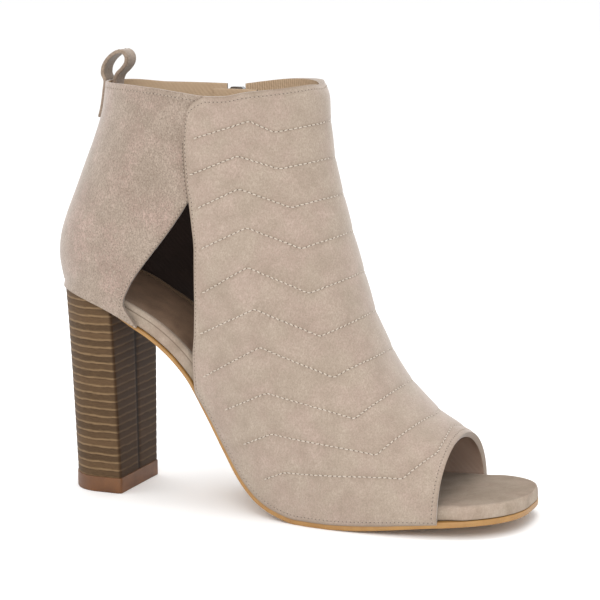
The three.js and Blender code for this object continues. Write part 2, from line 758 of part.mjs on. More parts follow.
// One half of the heel's D-shaped outline, from the middle of its front face to the back
function heelHalf(frontX, backX, sideX, halfAt) {
  const r = heelCornerRound;
  const corner = range(0, 1, 2).map((t) => {
    const turn = (Math.PI / 2) * t;
    const y = halfAt(frontX - r) - r + r * Math.sin(turn);
    return [frontX - r + r * Math.cos(turn), y];
  });
  const side = range(0, 1, 4).slice(1).map((t) => {
    const x = frontX - r + (sideX - frontX + r) * t;
    return [x, halfAt(x)];
  });
  const back = range(0, 1, 9).slice(1).map((t) => {
    const x = sideX - (sideX - backX) * Math.sin((Math.PI / 2) * t);
    return [x, t === 1 ? 0 : halfAt(x)];
  });
  return [[frontX, 0], ...corner, ...side, ...back];
}

// Outline of the heel at the floor, grown by out
function heelFoot(out) {
  const half = heelWidth / 2 + out;
  const front = breastX + out;
  const back = breastX - heelDepth - out;
  const sideX = back + (front - back) * 0.56;
  const halfAt = (x) => half * (x >= sideX ? 1 : Math.sqrt(Math.max(0, 1 - ((sideX - x) / (sideX - back)) ** 2)));
  return heelHalf(front, back, sideX, halfAt);
}

// Outline of the heel under the seat
function heelSeat() {
  const outline = outlineOffset(-1, () => -heelInset);
  const inner = outlineOffset(1, () => -heelInset);
  const front = breastX - breastLean;
  const back = bootLength * heelStart + heelInset + endGap;
  const sideX = back + (front - back) * 0.6;
  const flare = 0.93;
  const halfAt = (f) => (x) => f(x) * (1 - (1 - flare) * Math.max(0, (x - sideX) / (front - sideX)));
  return [heelHalf(front, back, sideX, halfAt(outline)), heelHalf(front, back, sideX, halfAt(inner))];
}

const bothSides = (outer, inner) => [
  ...outer.map(([x, y]) => [x, -y]),
  ...inner.slice(1, -1).reverse(),
];

function makeHeelBlock() {
  const foot = bothSides(heelFoot(0), heelFoot(0));
  const seat = bothSides(...heelSeat());
  const rings = range(0, 1, 9).map((t) => {
    const spread = 0.82 * t + 0.18 * t ** 3;
    return foot.map(([x, y], i) => {
      const px = x + (seat[i][0] - x) * spread;
      const py = y + (seat[i][1] - y) * spread;
      const top = feather(px);
      return new THREE.Vector3(px, py, tipHeight + (top - tipHeight) * t);
    });
  });
  return loft(rings);
}

function makeHeelTip() {
  const outline = bothSides(heelFoot(tipProud), heelFoot(tipProud));
  const lift = [0, tipHeight - clearance];
  return loft(lift.map((z) => outline.map(([x, y]) => new THREE.Vector3(x, y, z))));
}

// Nearest point of the skin to a side-view position, found by narrowing a grid
function onSkin(x, z, side, out) {
  let best = { k: lastSection / 2, u: 1, away: Infinity };
  let spanK = lastSection / 2;
  let spanU = 1;
  for (let pass = 0; pass < 9; pass++) {
    const centre = { ...best };
    for (const dk of range(-1, 1, 10)) {
      for (const du of range(-1, 1, 10)) {
        const k = Math.min(Math.max(centre.k + dk * spanK, 0), lastSection);
        const u = Math.min(Math.max(centre.u + du * spanU, 0.02), 1.98);
        const p = skinPoint(k, u, side, out);
        const away = Math.hypot(p.x - x, p.z - z);
        if (away < best.away) best = { k, u, away, point: p };
      }
    }
    spanK *= 0.4;
    spanU *= 0.4;
  }
  return best.point;
}

// Ribbon along a side-view curve, width in y
function ribbon(points, thick, width, steps) {
  const curve = new THREE.CatmullRomCurve3(points.map(([x, z]) => new THREE.Vector3(x, 0, z)), false, 'centripetal');
  const rings = range(0, 1, steps).map((t) => {
    const p = curve.getPointAt(t);
    const along = curve.getTangentAt(t);
    const side = new THREE.Vector3(along.z, 0, -along.x).multiplyScalar(thick / 2);
    return [[1, 1], [-1, 1], [-1, -1], [1, -1]].map(([a, b]) => {
      const q = p.clone().addScaledVector(side, a);
      q.y = (b * width) / 2;
      return q;
    });
  });
  return loft(rings);
}

// Back seam of the boot in side view: x at height z, moved out by out
function backLine(z, out) {
  let low = heelCorner;
  let high = lastSection;
  for (let pass = 0; pass < 30; pass++) {
    const middle = (low + high) / 2;
    if (skinPoint(middle, 2, 1, out).z < z) low = middle;
    else high = middle;
  }
  return skinPoint(low, 2, 1, out).x;
}

function makePullLoop() {
  const top = collar(backLine(collarHeight, 0), 1);
  const outside = 1.5 * clearance + loopThick / 2;
  const inside = -(upperWall + clearance + loopSlack + loopThick / 2);
  const tail = range(loopTail, 0, 4).map((d) => [backLine(top - d, outside), top - d]);
  const tuck = range(0, loopTuck, 3).map((d) => [backLine(top - d, inside), top - d]);
  const x = tail[tail.length - 1][0];
  const arch = loopRows.map((row) => [x + row.reach * loopRise, top + row.rise * loopRise]);
  return ribbon([...tail, ...arch, ...tuck], loopThick, loopWidth, 44);
}

// Zip: pieces between two offsets of the last, inside a side-view rectangle
function zipShell(low, high, half, foot, top) {
  return lastForm(high).subtract(lastForm(low)).intersect(zipPrism(half, foot, top));
}

const tapeTop = -(upperWall + clearance); // offset of the tape's outer face
const chainLow = tapeTop + clearance;
const sliderMiddle = zipTop - 3.4 - sliderLength / 2 + 2; // pokes out above the tape
const chainEnd = sliderMiddle - sliderLength * 0.2;

function makeZipTape() {
  return zipShell(tapeTop - tapeDepth, tapeTop, tapeWidth / 2, zipFoot - 4, zipTop - 2.2);
}

function makeZipChain() {
  return zipShell(chainLow, chainLow + chainDepth, chainWidth / 2, zipFoot + 2 + stopLength + clearance, chainEnd);
}

function makeZipStop() {
  return zipShell(chainLow, chainLow + chainDepth + 0.4, chainWidth / 2 + 0.8, zipFoot + 2, zipFoot + 2 + stopLength);
}

// Slider's frame: origin on the upper's outer face, z up the zip, y outwards
const sliderFrame = (() => {
  const middle = onSkin(zipAlong, sliderMiddle, 1, 0);
  const above = onSkin(zipAlong, sliderMiddle + sliderLength / 2, 1, 0);
  const below = onSkin(zipAlong, sliderMiddle - sliderLength / 2, 1, 0);
  const up = new THREE.Vector3(0, above.y - below.y, above.z - below.z).normalize();
  const out = new THREE.Vector3(0, up.z, -up.y);
  const across = new THREE.Vector3(1, 0, 0);
  const matrix = new THREE.Matrix4().makeBasis(across, out, up);
  matrix.setPosition(zipAlong, middle.y, middle.z);
  return matrix;
})();

const box = (x, y, z) => {
  const geometry = new THREE.BoxGeometry(x[1] - x[0], y[1] - y[0], z[1] - z[0]);
  geometry.translate((x[0] + x[1]) / 2, (y[0] + y[1]) / 2, (z[0] + z[1]) / 2);
  return toManifold(geometry);
};

const plateLow = chainLow + chainDepth + clearance; // slider's plate clears the chain
const plateTop = plateLow + sliderPlate;
const pinRadius = pullThick / 2;
const pinOut = plateTop + 0.5 + pinRadius; // bar of the pull, out from the upper

function makeSlider() {
  const half = sliderLength / 2;
  const wide = sliderWidth / 2;
  const flangeIn = chainWidth / 2 + 0.5;
  const outline = [[-wide * 0.72, -half], [wide * 0.72, -half], [wide, -half * 0.2], [wide, half * 0.7],
    [wide * 0.6, half], [-wide * 0.6, half], [-wide, half * 0.7], [-wide, -half * 0.2]];
  const slab = (low, high) => {
    const shape = new THREE.Shape(outline.map(([x, z]) => new THREE.Vector2(x, z)));
    const geometry = new THREE.ExtrudeGeometry(shape, { depth: high - low, bevelEnabled: false });
    geometry.rotateX(Math.PI / 2);
    geometry.translate(0, high, 0);
    return toManifold(geometry);
  };
  const gutter = box([-flangeIn, flangeIn], [chainLow - 1, plateLow], [-half - 1, half * 0.45]);
  const body = slab(chainLow, plateTop).subtract(gutter);
  const legIn = 2.2;
  const legOut = legIn + bailThick;
  const roof = pinOut + pinRadius + 0.35;
  const arch = box([-bailWidth / 2, bailWidth / 2], [plateTop - 0.2, roof + bailThick], [-legOut, legOut]);
  const under = box([-bailWidth, bailWidth], [plateTop - 1, roof], [-legIn, legIn]);
  const bail = arch.subtract(under.subtract(box([-bailWidth, bailWidth], [plateTop - 1, plateTop], [-legIn, legIn])));
  return body.add(bail);
}

// Pull: hangs straight down from its bar. Modelled round the bar, x along it
function makePull() {
  const half = pullWidth / 2;
  const foot = -pullLength + pinRadius;
  const shape = new THREE.Shape();
  shape.moveTo(-half * 0.9, pinRadius);
  shape.lineTo(-half * 0.9, -8);
  shape.lineTo(-half * 0.7, -11);
  shape.lineTo(-half, foot + half);
  shape.absarc(0, foot + half, half, Math.PI, 2 * Math.PI, false);
  shape.lineTo(half * 0.7, -11);
  shape.lineTo(half * 0.9, -8);
  shape.lineTo(half * 0.9, pinRadius);
  const hole = new THREE.Path();
  const inner = bailWidth / 2 + 0.45;
  hole.moveTo(-inner, -pinRadius);
  hole.lineTo(inner, -pinRadius);
  hole.lineTo(inner, -5.2);
  hole.lineTo(-inner, -5.2);
  shape.holes.push(hole);
  const geometry = new THREE.ExtrudeGeometry(shape, { depth: pullThick, bevelEnabled: false, curveSegments: 8 });
  geometry.rotateX(Math.PI / 2);
  geometry.translate(0, pullThick / 2, 0);
  return toManifold(geometry);
}

const placed = (solid, matrix) => solid.transform(matrix.elements);

const group = new THREE.Group();

function addPiece(name, solid, colour, roughness, metalness) {
  const material = new THREE.MeshStandardMaterial({ color: colour, roughness, metalness });
  const mesh = new THREE.Mesh(toGeometry(solid), material);
  mesh.name = name;
  group.add(mesh);
  return mesh;
}

addPiece('upper', makeUpper(), colours.suede, 0.95, 0);
addPiece('front_panel', makeFrontPanel(), colours.suede, 0.95, 0);
addPiece('footbed', makeFootbed(), colours.insole, 0.95, 0);
addPiece('sock_lining', makeSockLining(), colours.sock, 0.7, 0);
addPiece('outsole', makeOutsole(), colours.sole, 0.6, 0);
addPiece('heel_block', makeHeelBlock(), colours.stack, 0.6, 0);
addPiece('heel_tip', makeHeelTip(), colours.rubber, 0.6, 0);
addPiece('pull_loop', makePullLoop(), colours.suede, 0.95, 0);
addPiece('zip_tape', makeZipTape(), colours.tape, 0.9, 0);
addPiece('zip_chain', makeZipChain(), colours.metal, 0.3, 1);
addPiece('zip_stop', makeZipStop(), colours.metal, 0.3, 1);
addPiece('zip_slider', placed(makeSlider(), sliderFrame), colours.metal, 0.3, 1);

const barAt = new THREE.Vector3(0, pinOut, 0).applyMatrix4(sliderFrame);
const hanging = new THREE.Matrix4().makeTranslation(barAt.x, barAt.y, barAt.z);
addPiece('zip_pull', placed(makePull(), hanging), colours.metal, 0.3, 1);

// Origin in the middle of the boot's box, on the floor
const size = new THREE.Box3().setFromObject(group);
const middle = size.getCenter(new THREE.Vector3());
for (const mesh of group.children) mesh.geometry.translate(-middle.x, -middle.y, 0);

export default group;
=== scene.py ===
# Peep toe ankle boot for the right foot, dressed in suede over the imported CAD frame
import math

import bmesh
import bpy
import numpy as np
from mathutils import Matrix, Vector
from mathutils.bvhtree import BVHTree
from mathutils.kdtree import KDTree


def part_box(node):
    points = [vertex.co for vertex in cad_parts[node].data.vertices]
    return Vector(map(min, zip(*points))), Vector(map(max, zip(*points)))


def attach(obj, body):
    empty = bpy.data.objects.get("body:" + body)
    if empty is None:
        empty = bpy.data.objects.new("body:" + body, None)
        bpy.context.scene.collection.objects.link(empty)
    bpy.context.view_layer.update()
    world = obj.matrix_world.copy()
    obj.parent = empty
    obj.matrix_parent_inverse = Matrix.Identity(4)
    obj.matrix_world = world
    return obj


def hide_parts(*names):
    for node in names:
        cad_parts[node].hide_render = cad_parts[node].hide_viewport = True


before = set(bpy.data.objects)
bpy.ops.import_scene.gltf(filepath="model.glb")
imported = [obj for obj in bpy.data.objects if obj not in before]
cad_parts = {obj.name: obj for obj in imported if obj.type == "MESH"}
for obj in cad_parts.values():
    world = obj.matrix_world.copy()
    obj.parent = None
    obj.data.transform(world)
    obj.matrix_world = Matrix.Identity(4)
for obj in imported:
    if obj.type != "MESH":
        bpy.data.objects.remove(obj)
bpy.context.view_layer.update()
print("frame loaded")


# Sizes in millimetres, the same as the CAD part's
boot = {
    "length": 218.0,
    "ball": 77.0,
    "seat": 92.0,
    "collar": 184.5,
    "spring": 6.0,
    "clearance": 0.3,
    "wall": 1.3,
    "panelProud": 1.3,
    "soleFore": 2.4,
    "soleWaist": 1.5,
    "bedDepth": 7.0,
    "toeEdge": 0.862,
    "middle": 108.897,
}

# Shares of the boot's length, its ball width and its heights, as in the CAD tables
outline = {
    "along": [0, 0.1189, 0.1982, 0.2972, 0.3666, 0.4459, 0.545, 0.6242, 0.6936, 0.7728, 0.8521, 0.9215, 1],
    "outer": [0.338, 0.348, 0.336, 0.322, 0.334, 0.376, 0.446, 0.485, 0.492, 0.476, 0.443, 0.412, 0.378],
    "inner": [0.338, 0.343, 0.312, 0.272, 0.282, 0.335, 0.425, 0.472, 0.487, 0.468, 0.424, 0.394, 0.366],
}
rounding = {"heelStart": 0.0094, "heelAlong": 0.12, "heelPower": 2.1, "toeAlong": 0.135,
            "toePower": {-1: 2.25, 1: 3.2}}  # side -1 is the outer one, 1 the inner one
profile = {
    "along": [0, 0.0456, 0.0921, 0.1377, 0.1833, 0.2294, 0.2754, 0.321, 0.3666, 0.4132, 0.4588, 0.4954,
              0.5321, 0.5777, 0.6391, 0.6881, 0.7385, 0.789, 0.8257, 0.8624, 0.9358, 1],
    "rise": [1, 0.988, 0.962, 0.922, 0.868, 0.81, 0.728, 0.616, 0.468, 0.29, 0.134, 0.06,
             0.022] + [0] * 9,
    "spring": [0] * 15 + [0.08, 0.25, 0.46, 0.61, 0.74, 0.92, 1],
}
sections = {
    "ridgeX": [0.922, 0.8624, 0.8317, 0.794, 0.7436, 0.7094, 0.6857, 0.6643, 0.6495, 0.6351, 0.6208, 0.6084,
               0.597, 0.5866, 0.5791, 0.5757, 0.5737, 0.5727, 0.5712, 0.5702, 0.5692, 0.5677, 0.5663, 0.5648,
               0.5628, 0.5608],
    "ridgeZ": [0.1442, 0.1908, 0.2146, 0.2407, 0.297, 0.352, 0.411, 0.468, 0.524, 0.58, 0.636, 0.691, 0.743,
               0.793, 0.84, 0.872, 0.893, 0.91, 0.926, 0.941, 0.955, 0.969, 0.984, 1, 1.016, 1.04],
    "base": [0.9264, 0.862, 0.8075, 0.7491, 0.6837, 0.6163, 0.5479, 0.4806, 0.4132, 0.3468, 0.2774, 0.2031,
             0.1338, 0.0723, 0.0347, 0.0163, 0.0094, -0.0005, 0.002, 0.016, 0.037, 0.0585, 0.0805, 0.0991,
             0.1075, 0.113],
    "climb": [0] * 17 + [0.11, 0.216, 0.325, 0.445, 0.57, 0.695, 0.82, 0.93, 1.05],
    "outer": [0.405, 0.447, 0.472, 0.49, 0.497, 0.493, 0.475, 0.455, 0.44, 0.43, 0.424, 0.42, 0.417, 0.415,
              0.414, 0.413, 0.412, 0.411, 0.41, 0.409, 0.408, 0.407, 0.406, 0.405, 0.404, 0.403],
    "inner": [0.385, 0.427, 0.455, 0.484, 0.497, 0.486, 0.462, 0.438, 0.424, 0.417, 0.413, 0.411, 0.41, 0.409,
              0.408, 0.408, 0.407, 0.407, 0.406, 0.406, 0.405, 0.405, 0.404, 0.404, 0.403, 0.402],
    "widest": [0.97, 0.97, 0.94, 0.9, 0.85, 0.8, 0.74, 0.67, 0.6, 0.55, 0.52] + [0.5] * 15,
    "crown": [1, 1, 0.99, 0.97, 0.96, 0.96, 0.98] + [1] * 19,
    "blunt": [1] * 10 + [1.03, 1.08, 1.15, 1.23, 1.31, 1.37, 1.4, 1.4, 1.36, 1.31, 1.27,
              1.24, 1.22, 1.2, 1.2, 1.2],
}
heelCorner, lastSection = 16, 25  # section numbers: where the back seam starts, and the last one
collarLine = {
    "along": [0, 0.109, 0.1833, 0.2616, 0.325, 0.3825, 0.4122, 0.4558, 0.5063, 0.5469, 0.5767, 0.6936],
    "outer": [0.986, 0.987, 0.989, 0.985, 0.977, 0.97, 0.9705, 0.98, 0.987, 0.9935, 1, 1.003],
    "inner": [0.986, 0.985, 0.975, 0.973, 0.972, 0.98, 0.985, 0.991, 0.995, 0.997, 1, 1.003],
}
panelLine = {
    "rise": [0, 0.27, 0.308, 0.368, 0.42, 0.51, 0.615, 0.68, 0.732, 0.788, 0.854, 0.915, 1.1],
    "along": [0.3431, 0.3431, 0.3436, 0.3468, 0.3537, 0.3577, 0.3577, 0.3517, 0.3454, 0.3389, 0.3359, 0.3399,
              0.342],
}
panelCorner = {
    "along": [0.3399, 0.3438, 0.3547, 0.3676, 0.3796, 0.4],
    "rise": [0.915, 0.9355, 0.954, 0.963, 0.9703, 0.98],
}
quarterLine = {
    "climb": [-0.4, -0.2, -0.119, -0.0724, -0.041, -0.011, 0.0465, 0.1005, 0.1795, 0.275, 0.378, 0.468],
    "along": [0.22, 0.22, 0.2041, 0.1936, 0.1902, 0.1972, 0.2106, 0.2266, 0.2537, 0.2873, 0.32, 0.3454],
}
margins = {
    "along": [0, 0.15, 0.22, 0.317, 0.3765, 0.55, 0.8, 0.86, 0.91, 1],
    "sole": [-4, -4, -0.9, -0.9, 1, 1, 1, 0.9, 0.6, 0.6],
    "bed": [3, 2.5, 2, 1.8, 1.8, 1.8, 1.8, 1.8, 1.8, 1.8],
    "depth": [1, 1, 1, 1, 1, 1, 0.86, 0.84, 0.82, 0.82],
}


# Smooth curve through a column of a table, never overshooting its rows
def smooth(table, key, column):
    x, y = np.array(table[key], float), np.array(table[column], float)
    rise = np.diff(y) / np.diff(x)
    slope = np.zeros(len(x))
    total = rise[:-1] + rise[1:]
    slope[1:-1] = np.where(rise[:-1] * rise[1:] > 0, 2 * rise[:-1] * rise[1:] / np.where(total == 0, 1, total), 0)
    slope[0], slope[-1] = rise[0], rise[-1]

    def at(value):
        value = np.clip(np.asarray(value, float), x[0], x[-1])
        i = np.clip(np.searchsorted(x, value, side="right") - 1, 0, len(x) - 2)
        h = x[i + 1] - x[i]
        t = (value - x[i]) / h
        return (y[i] * (1 + 2 * t) * (1 - t) ** 2 + h * slope[i] * t * (1 - t) ** 2
                + y[i + 1] * t * t * (3 - 2 * t) + h * slope[i + 1] * t * t * (t - 1))

    return at


# Place at t between b and c on a smooth curve through four values
def spline(a, b, c, d, t):
    return b + 0.5 * t * (c - a + t * (2 * a - 5 * b + 4 * c - d + t * (3 * (b - c) + d - a)))


def extended(values):
    return np.concatenate([[2 * values[0] - values[1]], values, [2 * values[-1] - values[-2]]])


def unit(vectors):
    return vectors / np.maximum(np.linalg.norm(vectors, axis=-1, keepdims=True), 1e-9)


# Smooth curve through a column of the section table, by section number
def bySection(column):
    y = extended(np.array(sections[column], float))

    def at(k):
        k = np.asarray(k, float)
        i = np.clip(np.floor(k).astype(int), 0, lastSection - 1)
        return spline(y[i], y[i + 1], y[i + 2], y[i + 3], k - i)

    return at


outlineAt, collarAt = ({-1: smooth(table, "along", "outer"), 1: smooth(table, "along", "inner")}
                       for table in (outline, collarLine))
riseAt, springAt = smooth(profile, "along", "rise"), smooth(profile, "along", "spring")
section = {column: bySection(column) for column in sections}


def roundEnd(t, power):
    return (1 - (1 - np.clip(t, 0, 1)) ** power) ** (1 / power)


def smoothStep(value, low, high):
    t = np.clip((np.asarray(value, float) - low) / (high - low), 0, 1)
    return t * t * (3 - 2 * t)


# Half width of the lasted outline at x, with side -1 outer and 1 inner
def outlineHalf(x, side):
    share = np.asarray(x, float) / boot["length"]
    body = np.where(np.asarray(side) < 0, outlineAt[-1](share), outlineAt[1](share))
    heel = roundEnd((share - rounding["heelStart"]) / rounding["heelAlong"], rounding["heelPower"])
    toePower = np.where(np.asarray(side) < 0, rounding["toePower"][-1], rounding["toePower"][1])
    return boot["ball"] * body * heel * roundEnd((1 - share) / rounding["toeAlong"], toePower)


# Height of the feather edge, where the upper meets the sole
def feather(x):
    share = np.asarray(x, float) / boot["length"]
    return boot["soleFore"] + (boot["seat"] - boot["soleFore"]) * riseAt(share) + boot["spring"] * springAt(share)


def collarHeight(x, side):
    share = np.asarray(x, float) / boot["length"]
    return boot["collar"] * np.where(np.asarray(side) < 0, collarAt[-1](share), collarAt[1](share))


# Points of the last: k runs over the sections, u is 0 on the ridge, 1 at the widest line and 2 on
# the feather edge or the back seam
def lastPoint(k, u, side):
    k, u, side = np.broadcast_arrays(np.asarray(k, float), np.asarray(u, float), np.asarray(side, float))
    closed = k >= heelCorner
    ridgeX, ridgeZ = boot["length"] * section["ridgeX"](k), boot["collar"] * section["ridgeZ"](k)
    baseX = boot["length"] * section["base"](k)
    baseZ = np.where(closed, boot["seat"] + section["climb"](k) * (boot["collar"] - boot["seat"]), feather(baseX))
    width = boot["ball"] * np.where(side < 0, section["outer"](k), section["inner"](k))
    tuck = np.where(closed, 0, np.minimum(outlineHalf(baseX, side) / width, 1))
    widest = section["widest"](k)
    front = np.pi / 2 * np.minimum(u, 1)
    end = np.where(closed, np.pi / 2, np.arccos(np.minimum(tuck, 0.998) ** (rounding["heelPower"] / 2)))
    back = end * np.clip(u - 1, 0, 1)
    shareBack = widest + (1 - widest) * (np.sin(back) / np.sin(end)) ** (1 / section["blunt"](k))
    share = np.where(u <= 1, widest * (1 - np.cos(front)), shareBack)
    half = np.where(u <= 1, np.sin(front) ** section["crown"](k), np.abs(np.cos(back)) ** (2 / rounding["heelPower"]))
    half = np.where((u >= 2) & closed, 0, half) * width
    return np.stack([ridgeX + (baseX - ridgeX) * share, side * half, ridgeZ + (baseZ - ridgeZ) * share], axis=-1)


# Outward normal of the last's surface
def skinNormal(k, u, side):
    k, u, side = np.broadcast_arrays(np.asarray(k, float), np.asarray(u, float), np.asarray(side, float))
    stepK, stepU = 0.05, 0.02
    low = np.maximum(k - stepK, np.where(k >= heelCorner, heelCorner, 0))
    high = np.minimum(k + stepK, np.where(k < heelCorner, heelCorner - 0.001, lastSection))
    alongK = lastPoint(high, u, side) - lastPoint(low, u, side)
    alongU = lastPoint(k, np.minimum(u + stepU, 2), side) - lastPoint(k, np.maximum(u - stepU, 0), side)
    return unit(np.cross(alongU, alongK) * side[..., None])


def skin(k, u, side, out):
    return lastPoint(k, u, side) + skinNormal(k, u, side) * np.asarray(out, float)[..., None]


# First place on each section row, going back from the ridge, where ahead(x, z) falls below 0
def rowCrossing(k, side, out, ahead):
    k = np.asarray(k, float)
    turns = np.linspace(0.02, 2, 100)
    points = skin(k[:, None], turns[None, :], side, out)
    behind = ahead(points[..., 0], points[..., 2]) < 0
    first = np.argmax(behind, axis=1)
    low, high = turns[np.maximum(first - 1, 0)], turns[first]
    for _ in range(24):
        middle = (low + high) / 2
        point = skin(k, middle, side, out)
        before = ahead(point[:, 0], point[:, 2]) >= 0
        low, high = np.where(before, middle, low), np.where(before, high, middle)
    return np.where(behind.any(axis=1), (low + high) / 2, 2.0)


# Front panel: v is -1 on its back edge on the outer side, 0 on the ridge and 1 beside the zip
panel = {"zipSide": 75.0, "dip": 1.2, "dipWidth": 9.0}
panelAt = smooth(panelLine, "rise", "along")
cornerAt = smooth(panelCorner, "along", "rise")
turnRows = np.linspace(0, lastSection, 1251)


def panelEdgeX(z):
    return boot["length"] * panelAt(z / boot["collar"])


outerTurn = rowCrossing(turnRows, -1, boot["panelProud"], lambda x, z: x - panelEdgeX(z))
innerTurn = rowCrossing(turnRows, 1, boot["panelProud"], lambda x, z: x - panel["zipSide"])


def panelPlace(k, v):
    return np.where(v < 0, -v * np.interp(k, turnRows, outerTurn), v * np.interp(k, turnRows, innerTurn))


def panelPoint(k, v, out):
    k, v = np.broadcast_arrays(np.asarray(k, float), np.asarray(v, float))
    return skin(k, panelPlace(k, v), np.where(v < 0, -1, 1), out)


def panelTop(point):
    x, y = point[..., 0], point[..., 1]
    share = x / boot["length"]
    corner = np.where(share < panelCorner["along"][-1], cornerAt(share) * boot["collar"], np.inf)
    dip = panel["dip"] * np.exp(-((y / panel["dipWidth"]) ** 2))
    return np.where(y < 0, np.minimum(collarHeight(x, -1), corner), collarHeight(x, 1)) - dip


# Section number, between two limits, at which test(k) rises through 0, for each column
def findSection(test, low, high, count):
    low, high = np.full(count, float(low)), np.full(count, float(high))
    for _ in range(40):
        middle = (low + high) / 2
        above = test(middle) > 0
        low, high = np.where(above, low, middle), np.where(above, middle, high)
    return (low + high) / 2


# Grid of places on the front panel, its rows running from the toe opening to the collar
def panelPlaces(across, along):
    v = np.concatenate([np.linspace(-1, 0, across + 1), np.linspace(0, 1, across + 1)[1:]])
    out = boot["panelProud"]

    def pastToe(k):
        return boot["length"] * boot["toeEdge"] - panelPoint(k, v, out)[:, 0]

    def pastCollar(k):
        point = panelPoint(k, v, out)
        return point[:, 2] - panelTop(point)

    start = findSection(pastToe, 0, 4, len(v))
    end = findSection(pastCollar, 19, lastSection, len(v))
    corner = findSection(lambda k: panelLine["along"][0] - section["base"](k), 4, 14, 1)[0]
    low = start + (corner - start) * np.linspace(0, 1, along + 1)[:, None]
    high = corner + (end - corner) * np.linspace(0, 1, along + 1)[1:, None]
    k = np.concatenate([low, high])
    return k, np.broadcast_to(v, k.shape)


print("surface functions ready")


# Working millimetres to the frame's metres, and back
def toFrame(points):
    return (np.asarray(points, float) - [boot["middle"], 0, 0]) * 0.001


def fromFrame(points):
    return np.array(points) * 1000 + [boot["middle"], 0, 0]


def addObject(name, data):
    made = bpy.data.objects.new(name, data)
    bpy.context.scene.collection.objects.link(made)
    return made


def meshFrom(name, bm, materials=()):
    mesh = bpy.data.meshes.new(name)
    bm.to_mesh(mesh)
    bm.free()
    for material in materials:
        mesh.materials.append(material)
    return mesh


def finishMesh(name, bm, materials, body="boot"):
    mesh = meshFrom(name, bm, materials)
    mesh.polygons.foreach_set("use_smooth", [True] * len(mesh.polygons))
    made = addObject(name, mesh)
    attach(made, body)
    return made


# Grid of rows and columns moved onto points. values holds a number per point for each attribute
def gridBmesh(points, wraps=False, capped=False, values=None):
    rows, columns = points.shape[:2]
    bm = bmesh.new()
    bm.loops.layers.uv.new("rest")
    bmesh.ops.create_grid(bm, x_segments=columns - 1, y_segments=rows - 1, size=0.5, calc_uvs=True)
    place = toFrame(points)
    layers = {key: bm.verts.layers.float.new(key) for key in values or {}}
    for vert in bm.verts:
        j, i = round((vert.co.y + 0.5) * (rows - 1)), round((vert.co.x + 0.5) * (columns - 1))
        vert.co = place[j, i]
        for key, layer in layers.items():
            vert[layer] = float(values[key][j, i])
    if wraps or capped:
        bmesh.ops.remove_doubles(bm, verts=bm.verts[:], dist=2e-6)
    if capped:
        bmesh.ops.holes_fill(bm, edges=[e for e in bm.edges if e.is_boundary], sides=0)
    if wraps:
        bmesh.ops.recalc_face_normals(bm, faces=bm.faces[:])
    return bm


# Turns the faces of an open sheet to the side that outward points to at its middle
def faceOutward(bm, points, outward):
    rows, columns = points.shape[:2]
    middle = Vector(toFrame(points)[rows // 2, columns // 2])
    bm.normal_update()
    near = min(bm.verts, key=lambda vert: (vert.co - middle).length_squared)
    if near.normal.dot(Vector(outward[rows // 2, columns // 2])) < 0:
        bmesh.ops.reverse_faces(bm, faces=bm.faces[:])


def addWall(made, thick, rim, segments=3):
    wall = made.modifiers.new("wall", "SOLIDIFY")
    wall.thickness = thick * 0.001
    wall.offset = -1
    wall.material_offset = 1
    wall.material_offset_rim = 0
    addRim(made, rim, segments)


def addRim(made, rim, segments=3, angle=48):
    edge = made.modifiers.new("rim", "BEVEL")
    edge.width = rim * 0.001
    edge.segments = segments
    edge.limit_method = "ANGLE"
    edge.angle_limit = math.radians(angle)
    edge.harden_normals = False


# Points a fixed distance apart along a path, with the normals there
def evenly(points, normals, pitch, start=0.0):
    points, normals = np.asarray(points, float), np.asarray(normals, float)
    run = runAlong(points[None], 1)[0]
    at = np.arange(start + pitch / 2, run[-1] - pitch / 2, pitch)
    place, ahead, facing = (np.stack([np.interp(where, run, values[:, c]) for c in range(3)], axis=1)
                            for where, values in ((at, points), (at + pitch * 0.2, points), (at, normals)))
    along = unit(ahead - place)
    return place, along, unit(facing - along * (facing * along).sum(axis=1, keepdims=True))


# A few stitches, each a small rounded bar lying on the skin
def sewStitches(bm, place, along, facing, stitch):
    few = bmesh.new()
    for p, a, n in zip(toFrame(place), along, facing):
        turn = random.uniform(-stitch["wander"], stitch["wander"])
        side = np.cross(n, a)
        size = stitch["length"] * random.uniform(0.92, 1.05)
        axes = [(a + side * turn) * size * 0.0005, side * stitch["width"] * 0.0005, n * stitch["height"] * 0.0005]
        bmesh.ops.create_uvsphere(few, u_segments=8, v_segments=4, radius=1, matrix=placed(axes, p))
    mesh = meshFrom("few", few)
    bm.from_mesh(mesh)
    bpy.data.meshes.remove(mesh)


# Matrix that turns and stretches onto three axes and moves to a place
def placed(axes, place):
    return Matrix([[*(axis[row] for axis in axes), place[row]] for row in range(3)] + [[0, 0, 0, 1]])


def sewRow(bm, points, normals, stitch, start=0.0):
    place, along, facing = evenly(points, normals, stitch["pitch"], start)
    for first in range(0, len(place), 24):
        few = slice(first, first + 24)
        sewStitches(bm, place[few], along[few], facing[few], stitch)


# One row of stitches, with dark marks between them in a mesh of their own, painted shade of the needle holes
def sewLine(bm, points, normals, stitch):
    sewRow(bm, points, normals, stitch)
    sewRow(holes, points, normals, {**stitch, **needleHole}, stitch["pitch"] / 2)


random = np.random.default_rng(7)  # no two stitches lie quite alike
holes = bmesh.new()
needleHole = {"length": 0.62, "width": 0.5, "height": 0.16, "wander": 0.0}


# Values at fractional rows and columns of a grid
def sampleGrid(grid, row, column):
    rows, columns = grid.shape[:2]
    row, column = np.clip(row, 0, rows - 1.001), np.clip(column, 0, columns - 1.001)
    j, i = row.astype(int), column.astype(int)
    t, s = (row - j)[:, None], (column - i)[:, None]
    return ((grid[j, i] * (1 - s) + grid[j, i + 1] * s) * (1 - t)
            + (grid[j + 1, i] * (1 - s) + grid[j + 1, i + 1] * s) * t)


